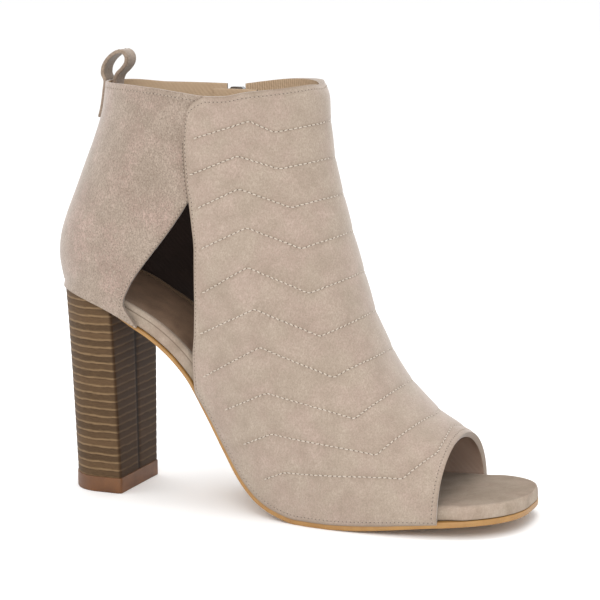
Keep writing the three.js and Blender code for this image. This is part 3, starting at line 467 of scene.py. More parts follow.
# Distance over a grid from its first row (axis 0) or its first column (axis 1)
def runAlong(points, axis):
    gaps = np.linalg.norm(np.diff(points, axis=axis), axis=2)
    return np.concatenate([np.zeros_like(np.take(gaps, [0], axis)), np.cumsum(gaps, axis=axis)], axis=axis)


# Column at a distance in from the first or last column, for every row
def insetColumns(points, inset, fromEnd=False):
    run = runAlong(points[:, ::-1] if fromEnd else points, 1)
    at = np.array([np.interp(inset, r, np.arange(len(r))) for r in run])
    return points.shape[1] - 1 - at if fromEnd else at


# Row at a distance in from the first or last row, for every column
def insetRows(points, inset, fromEnd=False):
    return insetColumns(np.swapaxes(points, 0, 1), inset, fromEnd)


# Node helpers
def newGroup(name, inputs, outputs):
    tree = bpy.data.node_groups.new(name, "ShaderNodeTree")
    for label, kind, value in inputs:
        socket = tree.interface.new_socket(name=label, in_out="INPUT", socket_type=kind)
        if value is not None:
            socket.default_value = value
    for label, kind in outputs:
        tree.interface.new_socket(name=label, in_out="OUTPUT", socket_type=kind)
    return tree, tree.nodes.new("NodeGroupInput"), tree.nodes.new("NodeGroupOutput")


def addNode(tree, kind, settings=None, values=None):
    node = tree.nodes.new(kind)
    for key, value in (settings or {}).items():
        setattr(node, key, value)
    setInputs(tree, node, values or {})
    return node


# Links a node's inputs to sockets and sets the others to plain values
def setInputs(tree, node, values):
    for key, value in values.items():
        if isinstance(value, bpy.types.NodeSocket):
            tree.links.new(value, node.inputs[key])
        else:
            node.inputs[key].default_value = value


toning = {"share": 0.61}


# Colour read from the photograph, toned down to what it reflects under the bright studio light
def srgb(*channels):
    linear = [c / 255 / 12.92 if c / 255 <= 0.04045 else ((c / 255 + 0.055) / 1.055) ** 2.4 for c in channels]
    return (*[c * toning["share"] for c in linear], 1.0)


def objectPlace(tree):
    return addNode(tree, "ShaderNodeTexCoord").outputs["Object"]


def readAttribute(tree, name):
    return addNode(tree, "ShaderNodeAttribute", {"attribute_name": name}).outputs["Fac"]


def mathNode(tree, operation, a, b=None, clamp=False):
    values = {0: a} if b is None else {0: a, 1: b}
    return addNode(tree, "ShaderNodeMath", {"operation": operation, "use_clamp": clamp}, values).outputs[0]


def times(tree, a, b):
    return mathNode(tree, "MULTIPLY", a, b)


# Sum of two values, each with its weight
def blend(tree, a, weightA, b, weightB):
    return mathNode(tree, "ADD", times(tree, a, weightA), times(tree, b, weightB))


def mixColour(tree, factor, a, b):
    return addNode(tree, "ShaderNodeMix", {"data_type": "RGBA"}, {0: factor, 6: a, 7: b}).outputs[2]


def noiseNode(tree, vector, millimetres, detail=2.0, rough=0.5):
    return addNode(tree, "ShaderNodeTexNoise", {}, {"Vector": vector, "Scale": 1000 / millimetres, "Detail": detail,
                                                    "Roughness": rough}).outputs["Fac"]


def rampNode(tree, value, low, high):
    return addNode(tree, "ShaderNodeMapRange", {"clamp": True},
                   {"Value": value, "From Min": low, "From Max": high}).outputs["Result"]


def bumpNode(tree, height, millimetres, strength):
    return addNode(tree, "ShaderNodeBump", {},
                   {"Height": height, "Distance": millimetres * 0.001, "Strength": strength}).outputs["Normal"]


def newMaterial(name):
    material = bpy.data.materials.new(name)
    material.use_nodes = True
    return material, material.node_tree, material.node_tree.nodes["Principled BSDF"]


# Brushed suede: mottled colour and a short nap that lies one way. A number read from each point mixes in the shade
# colour: painted shade at stitching, edges, folds and across the quarters, and a darker tone on top of the insole at
# the toe
napSizes = {"speckle": 0.7, "fibre": 0.66, "fine": 0.3, "brush": 9.0, "patch": 17.0, "relief": 0.12}
napShares = {"brush": 0.42, "tipHighlight": 0.55, "seam": 0.5}
nap, napIn, napOut = newGroup(
    "suedeNap",
    [("Tone", "NodeSocketColor", None), ("Blush", "NodeSocketColor", None), ("Shade", "NodeSocketColor", None),
     ("Seam", "NodeSocketFloat", 0.0), ("Depth", "NodeSocketFloat", 0.5), ("Grit", "NodeSocketFloat", 0.74),
     ("Lie", "NodeSocketVector", (0.0, 0.9, 0.3))],
    [("Colour", "NodeSocketColor"), ("Roughness", "NodeSocketFloat"), ("Normal", "NodeSocketVector")],
)
given = napIn.outputs
place = objectPlace(nap)
patch = noiseNode(nap, place, napSizes["patch"], 3.0, 0.55)
brush = noiseNode(nap, place, napSizes["brush"], 3.0, 0.6)
slant = addNode(nap, "ShaderNodeMapping", {}, {"Vector": place, "Rotation": given["Lie"], "Scale": (1.0, 1.0, 0.45)})
fibre = noiseNode(nap, slant.outputs["Vector"], napSizes["fibre"], 2.0, 0.65)
grit = noiseNode(nap, place, napSizes["speckle"], 2.0, 0.7)
speckle = blend(nap, fibre, 0.6, grit, 0.4)
fine = noiseNode(nap, place, napSizes["fine"], 1.0)
colour = mixColour(nap, rampNode(nap, patch, 0.42, 0.62), given["Tone"], given["Blush"])
for share, shade in (
    (times(nap, rampNode(nap, brush, 0.38, 0.7), napShares["brush"]), given["Shade"]),
    (times(nap, rampNode(nap, speckle, 0.4, 0.62), given["Grit"]), given["Shade"]),
    # Painted highlight: a paler colour on the tips of the fibres
    (times(nap, rampNode(nap, fibre, 0.54, 0.68), times(nap, given["Grit"], napShares["tipHighlight"])), srgb(232, 214, 197)),
    # Painted shade, and a darker tone on the insole's top, from the number each point carries
    (mathNode(nap, "MULTIPLY", given["Seam"], napShares["seam"], clamp=True), given["Shade"]),
):
    colour = mixColour(nap, share, colour, shade)
height = blend(nap, speckle, 0.6, fine, 0.4)
setInputs(nap, napOut, {
    "Colour": colour,
    "Roughness": mathNode(nap, "ADD", times(nap, speckle, 0.1), 0.86),
    "Normal": bumpNode(nap, height, napSizes["relief"], given["Depth"]),
})


# Colours of each suede: its tone, the warmer patches and the shade between the fibres
def suedeMaterial(name, tone, blush, shade, sheen=0.35, seam=None, **values):
    material, tree, shader = newMaterial(name)
    given = {"Tone": srgb(*tone), "Blush": srgb(*blush), "Shade": srgb(*shade)}
    given.update({key.capitalize(): value for key, value in values.items()})
    if seam:
        given["Seam"] = readAttribute(tree, seam)
    finish = addNode(tree, "ShaderNodeGroup", {"node_tree": nap}, given)
    setInputs(tree, shader, {
        "Base Color": finish.outputs["Colour"], "Roughness": finish.outputs["Roughness"],
        "Normal": finish.outputs["Normal"], "Sheen Weight": sheen, "Sheen Roughness": 0.5,
        "Specular IOR Level": 0.15,
    })
    return material


suede = suedeMaterial("suede", (206, 188, 170), (210, 187, 172), (160, 141, 123), seam="seam")
# Darker copy of the suede, as painted shade on the quarters, with coarser grain and its nap lying the other way
quarterSuede = suedeMaterial("quarterSuede", (206, 187, 170), (214, 187, 173), (140, 121, 104), seam="seam",
                             depth=0.8, grit=0.95, lie=(0.0, -0.85, 0.3))
bedSuede = suedeMaterial("insoleSuede", (203, 186, 167), (206, 185, 167), (126, 103, 80), sheen=0.08, seam="seam",
                         depth=0.3, grit=0.3)
strapSuede = suedeMaterial("strapSuede", (192, 171, 151), (196, 172, 155), (124, 105, 88), depth=0.8)


# Thread: twisted strands in two tones
def threadMaterial(name, tone, shade):
    material, tree, shader = newMaterial(name)
    strand = noiseNode(tree, objectPlace(tree), 0.25, 1.0)
    setInputs(tree, shader, {
        "Base Color": mixColour(tree, rampNode(tree, strand, 0.4, 0.65), srgb(*tone), srgb(*shade)),
        "Normal": bumpNode(tree, strand, 0.05, 0.5), "Roughness": 0.7, "Sheen Weight": 0.2,
    })
    return material


lightThread = threadMaterial("lightThread", (242, 229, 212), (210, 192, 173))
toneThread = threadMaterial("toneThread", (206, 187, 168), (176, 156, 138))
# Painted shade of the needle holes
pinholeDark = threadMaterial("pinholeDark", (134, 115, 99), (112, 95, 81))

# Inner lining: tan and ribbed at the collar, with painted shade in the dips between the ribs, dark brown lower down,
# taupe behind the toe opening
liningSizes = {"cloud": 9.0, "grain": 0.5, "rib": 1.25, "relief": 0.2, "ribDipShade": 0.45}
liningBands = {"tan": (0.146, 0.152), "rib": (0.165, 0.168), "toe": (0.028, 0.05)}  # in metres of the frame
liningTones = {"tan": ((242, 212, 178), (224, 190, 152)), "dark": ((62, 39, 28), (44, 27, 19)),
               "toe": ((236, 204, 184), (214, 182, 161)), "rib": (150, 116, 82)}


def liningMaterial():
    material, tree, shader = newMaterial("lining")
    place = objectPlace(tree)
    split = addNode(tree, "ShaderNodeSeparateXYZ", {}, {0: place}).outputs
    cloud = noiseNode(tree, place, liningSizes["cloud"])
    grain = noiseNode(tree, place, liningSizes["grain"])
    tan, dark, toe = (mixColour(tree, cloud, *[srgb(*c) for c in liningTones[key]]) for key in ("tan", "dark", "toe"))
    body = mixColour(tree, rampNode(tree, split["Z"], *liningBands["tan"]), dark, tan)
    body = mixColour(tree, rampNode(tree, split["X"], *liningBands["toe"]), body, toe)
    # Painted shade in the dips between the collar's ribs
    stripes = mathNode(tree, "SINE", times(tree, readAttribute(tree, "rib"), 2 * math.pi / liningSizes["rib"]))
    paintedRibShade = times(tree, rampNode(tree, stripes, 0.1, 0.7), rampNode(tree, split["Z"], *liningBands["rib"]))
    body = mixColour(tree, times(tree, paintedRibShade, liningSizes["ribDipShade"]), body, srgb(*liningTones["rib"]))
    weave = addNode(tree, "ShaderNodeTexWave", {"bands_direction": "DIAGONAL"},
                    {"Vector": place, "Scale": 260.0, "Distortion": 0.6}).outputs["Fac"]
    height = blend(tree, weave, 0.5, grain, 0.4)
    setInputs(tree, shader, {"Base Color": body, "Normal": bumpNode(tree, height, liningSizes["relief"], 0.5),
                             "Roughness": 0.75})
    return material


# A satin surface with fine grain, in two tones
def satinMaterial(name, tone, shade, rough, grainSize, relief, metallic=0.0):
    material, tree, shader = newMaterial(name)
    place = objectPlace(tree)
    cloud = noiseNode(tree, place, 7.0, 3.0)
    grain = noiseNode(tree, place, grainSize, 2.0, 0.6)
    share = rampNode(tree, blend(tree, cloud, 0.7, grain, 0.3), 0.35, 0.65)
    setInputs(tree, shader, {
        "Base Color": mixColour(tree, share, srgb(*tone), srgb(*shade)), "Normal": bumpNode(tree, grain, relief, 0.5),
        "Roughness": mathNode(tree, "ADD", times(tree, grain, 0.15), rough - 0.07), "Metallic": metallic,
    })
    return material


lining = liningMaterial()
sock = satinMaterial("sockLeather", (150, 120, 96), (126, 99, 78), 0.55, 0.6, 0.05)
soleEdge = satinMaterial("soleEdge", (203, 154, 88), (183, 133, 72), 0.45, 0.5, 0.03)
tipRubber = satinMaterial("tipRubber", (136, 86, 42), (110, 67, 31), 0.5, 0.4, 0.03)
metal = satinMaterial("zipMetal", (200, 201, 203), (176, 178, 181), 0.24, 0.8, 0.006, 1.0)

# Stacked heel: light and dark lines between brown lifts, painted shade darkening the breast face, and a dark join down
# the breast
stackTones = {"lift": ((116, 90, 64), (86, 66, 46)), "line": (168, 138, 102), "under": (58, 43, 30),
              "breast": (52, 33, 21), "join": (26, 14, 9)}
stackShares = {"line": 0.72, "under": 0.4, "breast": 0.6, "join": 1.0, "sway": 0.3, "streak": 0.34, "underDrop": 0.17}


def stackMaterial():
    material, tree, shader = newMaterial("stackedHeel")
    place = objectPlace(tree)
    sway = times(tree, noiseNode(tree, place, 9.0, 1.0), stackShares["sway"])
    level = mathNode(tree, "ADD", readAttribute(tree, "lift"), sway)
    layer = mathNode(tree, "SUBTRACT", level, stackShares["sway"] / 2)
    stretch = addNode(tree, "ShaderNodeMapping", {}, {"Vector": place, "Scale": (1.0, 1.0, 6.0)}).outputs["Vector"]
    grain = noiseNode(tree, stretch, 2.2, 4.0, 0.65)
    streak = noiseNode(tree, stretch, 4.0, 3.0, 0.6)
    tint = addNode(tree, "ShaderNodeTexWhiteNoise", {"noise_dimensions": "1D"}, {"W": mathNode(tree, "FLOOR", layer)})
    share = blend(tree, grain, 0.75, tint.outputs["Value"], 0.3)

    def toJoint(value):
        return mathNode(tree, "ABSOLUTE", mathNode(tree, "SUBTRACT", mathNode(tree, "FRACT", value), 0.5))

    streaky = mathNode(tree, "ADD", toJoint(layer), times(tree, streak, stackShares["streak"]))
    under = toJoint(mathNode(tree, "ADD", layer, stackShares["underDrop"]))
    masks = {"under": rampNode(tree, under, 0.4, 0.47), "line": rampNode(tree, streaky, 0.47, 0.66),
             "breast": readAttribute(tree, "breast"), "join": readAttribute(tree, "join")}
    brown = mixColour(tree, rampNode(tree, share, 0.3, 0.75), *[srgb(*c) for c in stackTones["lift"]])
    for key, mask in masks.items():
        brown = mixColour(tree, times(tree, mask, stackShares[key]), brown, srgb(*stackTones[key]))
    setInputs(tree, shader, {"Base Color": brown, "Normal": bumpNode(tree, grain, 0.1, 0.35), "Roughness": 0.6,
                             "Specular IOR Level": 0.12})
    return material


# Woven tape: fine crossing ribs
def tapeMaterial():
    material, tree, shader = newMaterial("zipTape")
    place = objectPlace(tree)
    weft, warp = (addNode(tree, "ShaderNodeTexWave", {"bands_direction": bands}, {"Vector": place, "Scale": 500.0})
                  for bands in ("Z", "X"))
    weave = times(tree, weft.outputs["Fac"], warp.outputs["Fac"])
    setInputs(tree, shader, {"Base Color": mixColour(tree, weave, srgb(146, 130, 116), srgb(176, 160, 145)),
                             "Normal": bumpNode(tree, weave, 0.15, 0.6), "Roughness": 0.85})
    return material


stack = stackMaterial()
tape = tapeMaterial()
print("materials ready")

# Front panel: rows of chevron stitching pull soft troughs into it
panelShape = {"across": 84, "along": 104, "puff": 0.16, "puffWidth": 5.0, "trough": 0.34, "troughWidth": 1.2,
              "roll": 2.6, "rollDepth": 7.0, "rollWidth": 16.0, "calmFrom": 0.5, "calmTo": 5.0, "rim": 0.55}
# Painted shade: strength and width of the darkening along the chevron stitching and along the back, toe and top edges
# of the panel
panelPaintedShade = {"sewn": (1.0, 0.7), "back": (1.7, 0.8), "toe": (1.2, 0.8), "top": (1.1, 0.7)}  # strength, width

# k and v of each corner of a row on the outer side; the inner side mirrors it
chevrons = {
    "edgeK": [20.41, 17.65, 14.37, 12.23, 10.79, 9.89, 9.13, 8.41, 7.73, 6.92],
    "edgeV": [-0.955, -0.985, -0.965, -0.965, -0.945, -0.95, -0.9, -0.84, -0.82, -0.82],
    "peakK": [20.4, 17.36, 14.22, 12.2, 10.81, 9.61, 8.77, 7.93, 7.29, 6.44],
    "peakV": [-0.65, -0.73, -0.74, -0.71, -0.66, -0.53, -0.47, -0.49, -0.54, -0.61],
    "troughK": [18.1, 14.2, 12.18, 10.51, 9.05, 7.77, 6.45, 4.93, 3.73, 2.64],
    "troughV": [-0.51, -0.5, -0.45, -0.37, -0.27, -0.27, -0.27, -0.28, -0.32, -0.35],
    "ridgeK": [16.9, 13.62, 11.9, 10.28, 8.62, 6.98, 5.47, 4.11, 2.83, 1.66],
    "ridgeV": [0, 0, 0, 0, 0, 0, 0, 0, 0, -0.2],
}
lowRidge = 1.9  # section where the lowest row crosses the ridge
panelK, panelV = panelPlaces(panelShape["across"], panelShape["along"])
panelBase = panelPoint(panelK, panelV, boot["panelProud"])
panelNormals = skinNormal(panelK, panelPlace(panelK, panelV), np.where(panelV < 0, -1, 1))


def surfaceTree(points, outward):
    bm = gridBmesh(points)
    faceOutward(bm, points, outward)
    tree = BVHTree.FromBMesh(bm)
    bm.free()
    return tree


# Nearest places on a surface, with its normals there
def ontoSurface(tree, points):
    found = [tree.find_nearest(Vector(point)) for point in toFrame(points)]
    return fromFrame([hit[0] for hit in found]), np.array([hit[1] for hit in found])


# Path on a surface that runs straight between corners
def ruledPath(tree, corners, step=0.35):
    line = []
    for a, b in zip(corners[:-1], corners[1:]):
        count = max(2, int(np.linalg.norm(b - a) / step))
        line += [a + (b - a) * t for t in np.linspace(0, 1, count, endpoint=False)]
    return soften(ontoSurface(tree, line)[0])


# Rounds the corners of a path, with its ends kept
def soften(path, reach=4):
    ends = np.concatenate([[path[0]] * reach, path, [path[-1]] * reach])
    return np.mean([ends[i:i + len(path)] for i in range(2 * reach + 1)], axis=0)


panelTree = surfaceTree(panelBase, panelNormals)
chevronPaths = []
for row, ridge in enumerate(chevrons["ridgeV"]):
    for side in (-1, 1):
        places = [(chevrons[c + "K"][row], chevrons[c + "V"][row] * -side) for c in ("edge", "peak", "trough", "ridge")]
        if ridge:
            places.append((lowRidge, 0))
        corners = np.array([panelPoint(k, v, boot["panelProud"]) for k, v in places])
        chevronPaths.append(ruledPath(panelTree, corners))


# Distance from every point to the nearest of some paths
def distanceTo(points, paths):
    marks = np.concatenate(paths)
    tree = KDTree(len(marks))
    for index, mark in enumerate(marks):
        tree.insert(Vector(mark), index)
    tree.balance()
    return np.array([tree.find(Vector(p))[2] for p in points.reshape(-1, 3)]).reshape(points.shape[:2])


away = {
    "sewn": distanceTo(panelBase, chevronPaths),
    "back": runAlong(panelBase, 1),
    "toe": runAlong(panelBase, 0),
    "top": runAlong(panelBase[::-1], 0)[::-1],
}
fromZip = away["back"][:, -1:] - away["back"]
fromEdge = np.minimum.reduce([away["top"], away["back"], fromZip, away["toe"]])
calm = smoothStep(fromEdge, panelShape["calmFrom"], panelShape["calmTo"])
rolled = np.clip(1 - away["top"] / panelShape["rollDepth"], 0, 1) ** 2
relief = (panelShape["puff"] * (1 - np.exp(-(away["sewn"] / panelShape["puffWidth"]) ** 2)) * calm
          - panelShape["trough"] * np.exp(-(away["sewn"] / panelShape["troughWidth"]) ** 2)
          - panelShape["roll"] * rolled * np.exp(-(panelBase[..., 1] / panelShape["rollWidth"]) ** 2))
panelPoints = panelBase + panelNormals * relief[..., None]
# Painted shade in the stitched troughs and along the panel's edges, mixed into the suede's colour
panelPaintedShadeMask = np.maximum.reduce([strength * np.exp(-(away[edge] / width) ** 2)
                              for edge, (strength, width) in panelPaintedShade.items()])
bm = gridBmesh(panelPoints, values={"seam": panelPaintedShadeMask, "rib": np.broadcast_to(away["back"][-1:], panelPaintedShadeMask.shape)})
faceOutward(bm, panelPoints, panelNormals)
frontPanel = finishMesh("frontPanel", bm, [suede, lining])
addWall(frontPanel, boot["panelProud"] + boot["wall"], panelShape["rim"])
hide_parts("front_panel")
print("front panel made")

# Light chevron stitching
chevronStitch = {"pitch": 2.15, "length": 1.75, "width": 0.56, "height": 0.42, "wander": 0.28}
puffedTree = surfaceTree(panelPoints, panelNormals)
chevronThreads = bmesh.new()
for path in chevronPaths:
    sewLine(chevronThreads, *ontoSurface(puffedTree, path), chevronStitch)
stitching = finishMesh("chevronStitch", chevronThreads, [lightThread])

# Tone stitching inside the edges of the panel and the quarters
edgeStitch = {"pitch": 1.75, "length": 1.15, "width": 0.5, "height": 0.36, "wander": 0.08}
edgeInset = {"back": 1.9, "collar": 2.3, "front": 2.0, "zip": 1.9, "toe": 2.1}
edgeThreads = bmesh.new()


def sewEdge(points, normals, run):
    line, facing = (sampleGrid(grid, run[:, 0], run[:, 1]) for grid in (points, normals))
    sewLine(edgeThreads, line, facing, edgeStitch)


# The part of a side run that lies under the collar's run
def underTop(columns, topRows):
    rows = np.arange(len(columns))
    kept = rows < np.interp(columns, np.arange(len(topRows)), topRows)
    return np.stack([rows[kept], columns[kept]], axis=1)


# The part of a cross run between two columns
def between(rows, low, high):
    columns = np.arange(len(rows))
    kept = (columns > low) & (columns < high)
    return np.stack([rows[kept], columns[kept]], axis=1)


topRows = insetRows(panelPoints, edgeInset["collar"], fromEnd=True)
backRun = underTop(insetColumns(panelPoints, edgeInset["back"]), topRows)
zipRun = underTop(insetColumns(panelPoints, edgeInset["zip"], fromEnd=True), topRows)
topRun = between(topRows, backRun[-1, 1], zipRun[-1, 1])
sewEdge(panelPoints, panelNormals, np.concatenate([backRun, topRun, zipRun[::-1]]))
toeRows = insetRows(panelPoints, edgeInset["toe"])
sewEdge(panelPoints, panelNormals, between(toeRows, backRun[0, 1], zipRun[0, 1]))
print("panel stitching made")

# Quarters: behind the cut-out on the outer side, behind the zip on the inner side
zipSizes = {"along": 70.5, "slot": 9.0, "length": 92.0, "round": 3.0, "chainDepth": 1.7, "tapeDepth": 0.7,
            "tapeWidth": 21.0, "tapeBelow": 4.0, "tapeShort": 2.2}
quarterShape = {"across": 60, "low": 26, "high": 70, "tuck": 0.8, "under": 13.0, "underFrom": 0.86, "underTo": 0.93,
                "sunk": 0.04, "thinner": 0.08, "rim": 0.45}
# The nap lies the other way here, and the quarters are painted darker as shade, most of all behind the panel and at the
# hem
quarterPaintedShade = {"all": 0.02, "middle": 0.16, "centre": (48, 148), "reach": (30, 34), "hem": 1.3, "hemColumns": 1.1}
quarterAt = smooth(quarterLine, "climb", "along")
zipTop = float(collarHeight(zipSizes["along"], 1))
zipFoot = zipTop - zipSizes["length"]


def outerFront(x, z):
    climb = (z - boot["seat"]) / (boot["collar"] - boot["seat"])
    hidden = smoothStep(z, quarterShape["underFrom"] * boot["collar"], quarterShape["underTo"] * boot["collar"])
    under = quarterShape["tuck"] + quarterShape["under"] * hidden
    besideCutOut = climb < quarterLine["climb"][-1]
    return x - np.where(besideCutOut, boot["length"] * quarterAt(climb), panelEdgeX(z) + under)


def innerFront(x, z):
    slot = smoothStep(z, zipFoot - zipSizes["round"], zipFoot) * (zipSizes["slot"] + quarterShape["tuck"])
    return x - (panel["zipSide"] + quarterShape["tuck"]) + slot


def quarterGrid(side, ahead):
    out = -quarterShape["sunk"]
    turn = rowCrossing(turnRows, side, out, ahead)
    first = turnRows[np.argmax(turn < 1.999)]
    share = np.linspace(0, 1, quarterShape["across"] + 1)

    def turnAt(k):
        front = np.interp(k, turnRows, turn)
        return front + (2 - front) * share

    def pastCollar(k):
        point = skin(k, turnAt(k), side, out)
        return point[:, 2] - collarHeight(point[:, 0], side)

    top = findSection(pastCollar, 18, lastSection, len(share))
    low = np.linspace(first + 0.02, heelCorner, quarterShape["low"] + 1)[:, None] + 0 * top
    high = heelCorner + (top - heelCorner) * np.linspace(0, 1, quarterShape["high"] + 1)[1:, None]
    k = np.concatenate([low, high])
    return skin(k, turnAt(k), side, out), skinNormal(k, turnAt(k), side)


# Share of painted shade at each point of a quarter
def quarterPaintedShadeMask(points):
    (x, z), (reachX, reachZ) = quarterPaintedShade["centre"], quarterPaintedShade["reach"]
    middle = np.exp(-((points[..., 0] - x) / reachX) ** 2 - ((points[..., 2] - z) / reachZ) ** 2)
    hem = quarterPaintedShade["hem"] * np.exp(-(np.arange(points.shape[1]) / quarterPaintedShade["hemColumns"]) ** 2)
    return quarterPaintedShade["all"] + quarterPaintedShade["middle"] * middle + hem[None, :]


for side, name, ahead, front in ((-1, "outerQuarter", outerFront, "front"), (1, "innerQuarter", innerFront, "zip")):
    points, normals = quarterGrid(side, ahead)
    topRows = insetRows(points, edgeInset["collar"], fromEnd=True)
    hemRun = underTop(insetColumns(points, edgeInset[front]), topRows)
    sewEdge(points, normals, hemRun)
    sewEdge(points, normals, between(topRows, hemRun[-1, 1] if side > 0 else -1, points.shape[1]))
    bm = gridBmesh(points, values={"seam": quarterPaintedShadeMask(points)})
    faceOutward(bm, points, normals)
    quarter = finishMesh(name, bm, [quarterSuede, lining])
    addWall(quarter, boot["wall"] - quarterShape["thinner"], quarterShape["rim"])
    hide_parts("upper")
pinholes = finishMesh("pinholes", holes, [pinholeDark])
edgeStitching = finishMesh("edgeStitch", edgeThreads, [toneThread])
print("quarters made")


# A closed piece through rings of points
def ringPiece(name, rings, material, values=None):
    return finishMesh(name, gridBmesh(rings, wraps=True, capped=True, values=values), [material])


# Plates that follow the feather line
length = boot["length"]
endGap = 0.15
marginAt = {column: smooth(margins, "along", column) for column in ("sole", "bed", "depth")}
heelTurn, toeTurn = length * rounding["heelAlong"], length * (1 - rounding["toeAlong"])
heelStart = length * rounding["heelStart"]
endTurn = np.sin(np.pi / 2 * np.linspace(0, 1, 26))


# Rings across the plate at each station, from points (y, height over the feather line)
def plateRings(stations, ringAt):
    rings = []
    for x in stations:
        y, over = np.array(ringAt(x)).T
        slope = feather(x + 0.5) - feather(x - 0.5)
        size = np.hypot(slope, 1)
        rings.append(np.stack([x - slope / size * over, y, feather(x) + over / size], axis=1))
    return closeRings(rings)


def closeRings(values):
    values = np.array(values)
    return np.concatenate([values, values[:, :1]], axis=1)


def bothHalves(right, left):
    return right + [(-y, h) for y, h in reversed(left)]


# Half width of the outline moved outwards by by(x)
def outlineOffset(side, by):
    start, end = heelStart + 0.02, length - 0.02
    x = start + (end - start) * (0.5 - 0.5 * np.cos(np.pi * np.linspace(0, 1, 481)))
    line = np.stack([x, outlineHalf(x, side)], axis=1)
    along = unit(np.gradient(line, axis=0))
    moved = line + np.stack([-along[:, 1], along[:, 0]], axis=1) * by(x)[:, None]
    order = np.maximum.accumulate(moved[:, 0])
    return lambda at: np.maximum(np.interp(at, order, moved[:, 1]), 0)


# Half widths of the insole's plan on both sides, less a margin
def insetBoth(margin):
    return {side: outlineOffset(side, lambda x: -marginAt["bed"](x / length) - margin) for side in (-1, 1)}


# Stations that stand close together where the plan turns at each end
def stationsAlong(start, back, front, end, count):
    return np.concatenate([back + (start - back) * endTurn[::-1], np.linspace(back, front, count)[1:],
                           front + (end - front) * endTurn[1:]])


# Wrapped insole: rounded side with a fold along it and, behind, a shallow bed for the lining
bed = {"round": 1.5, "toeRound": 3.4, "bead": 2.5, "drop": 1.1, "lift": 0.25, "flatFrom": 0.56, "flatTo": 0.66,
       "fold": 0.7, "foldDepth": 0.4, "flushFrom": 0.012, "flushTo": 0.05}
# Darkening of the insole suede: a darker tone on its top, painted shade in the fold along the side behind the toe, and
# painted shade over the inner side's top there, where the upper shades it
bedShade = {"top": 0.75, "fold": 1.4, "behind": 2.0}
bedRows = {"side": 22, "fold": 5, "under": 7, "topFrom": 11, "topTo": 15}  # counted along bedSide
bedInset = insetBoth(0)


def bedHalf(x, side):
    flush = smoothStep(x, length * (boot["toeEdge"] + bed["flushFrom"]), length * (boot["toeEdge"] + bed["flushTo"]))
    return max(float(bedInset[side](x) * (1 - flush) + outlineHalf(x, side) * flush), 0.5)


def bedSide(x, half):
    flat = float(smoothStep(x, length * bed["flatFrom"], length * bed["flatTo"]))
    r = min(bed["round"] + (bed["toeRound"] - bed["round"]) * flat, half * 0.45)
    lip = min(bed["bead"], half * 0.3) * 0.5
    high = boot["bedDepth"] * float(marginAt["depth"](x / length)) + bed["lift"] * (1 - flat)
    drop, groove = bed["drop"] * (1 - flat), bed["foldDepth"] * (1 - flat)
    fold = high - r - bed["fold"]
    side = [(half - 0.6, 0.3), (half - 0.15, 0.4), (half, 0.9), (half, 0.25 + fold * 0.5), (half, fold - 0.35),
            (half - groove, fold), (half, fold + 0.3)]
    side += [(half - r + r * math.cos(t), high - r + r * math.sin(t)) for t in np.linspace(0, math.pi / 2, 7)]
    side += [(half - r - lip * across, high - drop * down)
             for across, down in ((0.6, 0), (1, 0.25), (1.2, 0.85), (1.5, 1))]
    return side + [((half - r - lip * 1.5) * t, high - drop) for t in (0.85, 0.6, 0.3, 0.08)]


bedStart = heelStart + margins["bed"][0] + endGap
stations = stationsAlong(bedStart, heelTurn, toeTurn, length - endGap, 150)
rings = plateRings(stations, lambda x: bothHalves(bedSide(x, bedHalf(x, 1)), bedSide(x, bedHalf(x, -1))))
row = np.arange(bedRows["side"])
topShade = bedShade["top"] * smoothStep(row, bedRows["topFrom"], bedRows["topTo"])
foldPaintedShade = bedShade["fold"] * (row == bedRows["fold"])
behind = 1 - smoothStep(stations, length * bed["flatFrom"], length * bed["flatTo"])[:, None]
# Darker tone on top, and painted shade in the fold and on the inner side behind the toe
shade = (np.concatenate([topShade, topShade[::-1], [0]])
         + behind * np.concatenate([foldPaintedShade + bedShade["behind"] * (row > bedRows["under"]), foldPaintedShade[::-1], [0]]))
footbed = ringPiece("footbedWrap", rings, bedSuede, {"seam": shade})
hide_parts("footbed")

# Sock lining
sockShape = {"margin": 3.4, "depth": 0.75, "round": 0.3, "end": 0.64, "endRound": 0.1, "endPower": 2.2, "gap": 0.05}
sockInset = insetBoth(sockShape["margin"])


def sockRing(x):
    low = boot["bedDepth"] * float(marginAt["depth"](x / length)) + bed["lift"] - bed["drop"] + sockShape["gap"]
    high, r = low + sockShape["depth"], sockShape["round"]
    end = float(roundEnd((length * sockShape["end"] - x) / (length * sockShape["endRound"]), sockShape["endPower"]))
    halves = [max(float(sockInset[side](x)) * end, 0.5) for side in (1, -1)]
    return bothHalves(*([(h, low), (h, high - r), (h - r * 0.3, high - r * 0.3), (h - r, high), (h * 0.6, high),
                         (h * 0.2, high)] for h in halves))


sockTurn = length * (sockShape["end"] - sockShape["endRound"])
stations = stationsAlong(bedStart + sockShape["margin"], heelTurn, sockTurn, length * sockShape["end"] - endGap, 80)
sockLining = ringPiece("sockLining", plateRings(stations, sockRing), sock)
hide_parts("sock_lining")

# Outsole
soleShape = {"bevel": 0.35, "breast": 34.3, "thickFrom": 0.3, "thickTo": 0.5, "frontFade": 0.03}


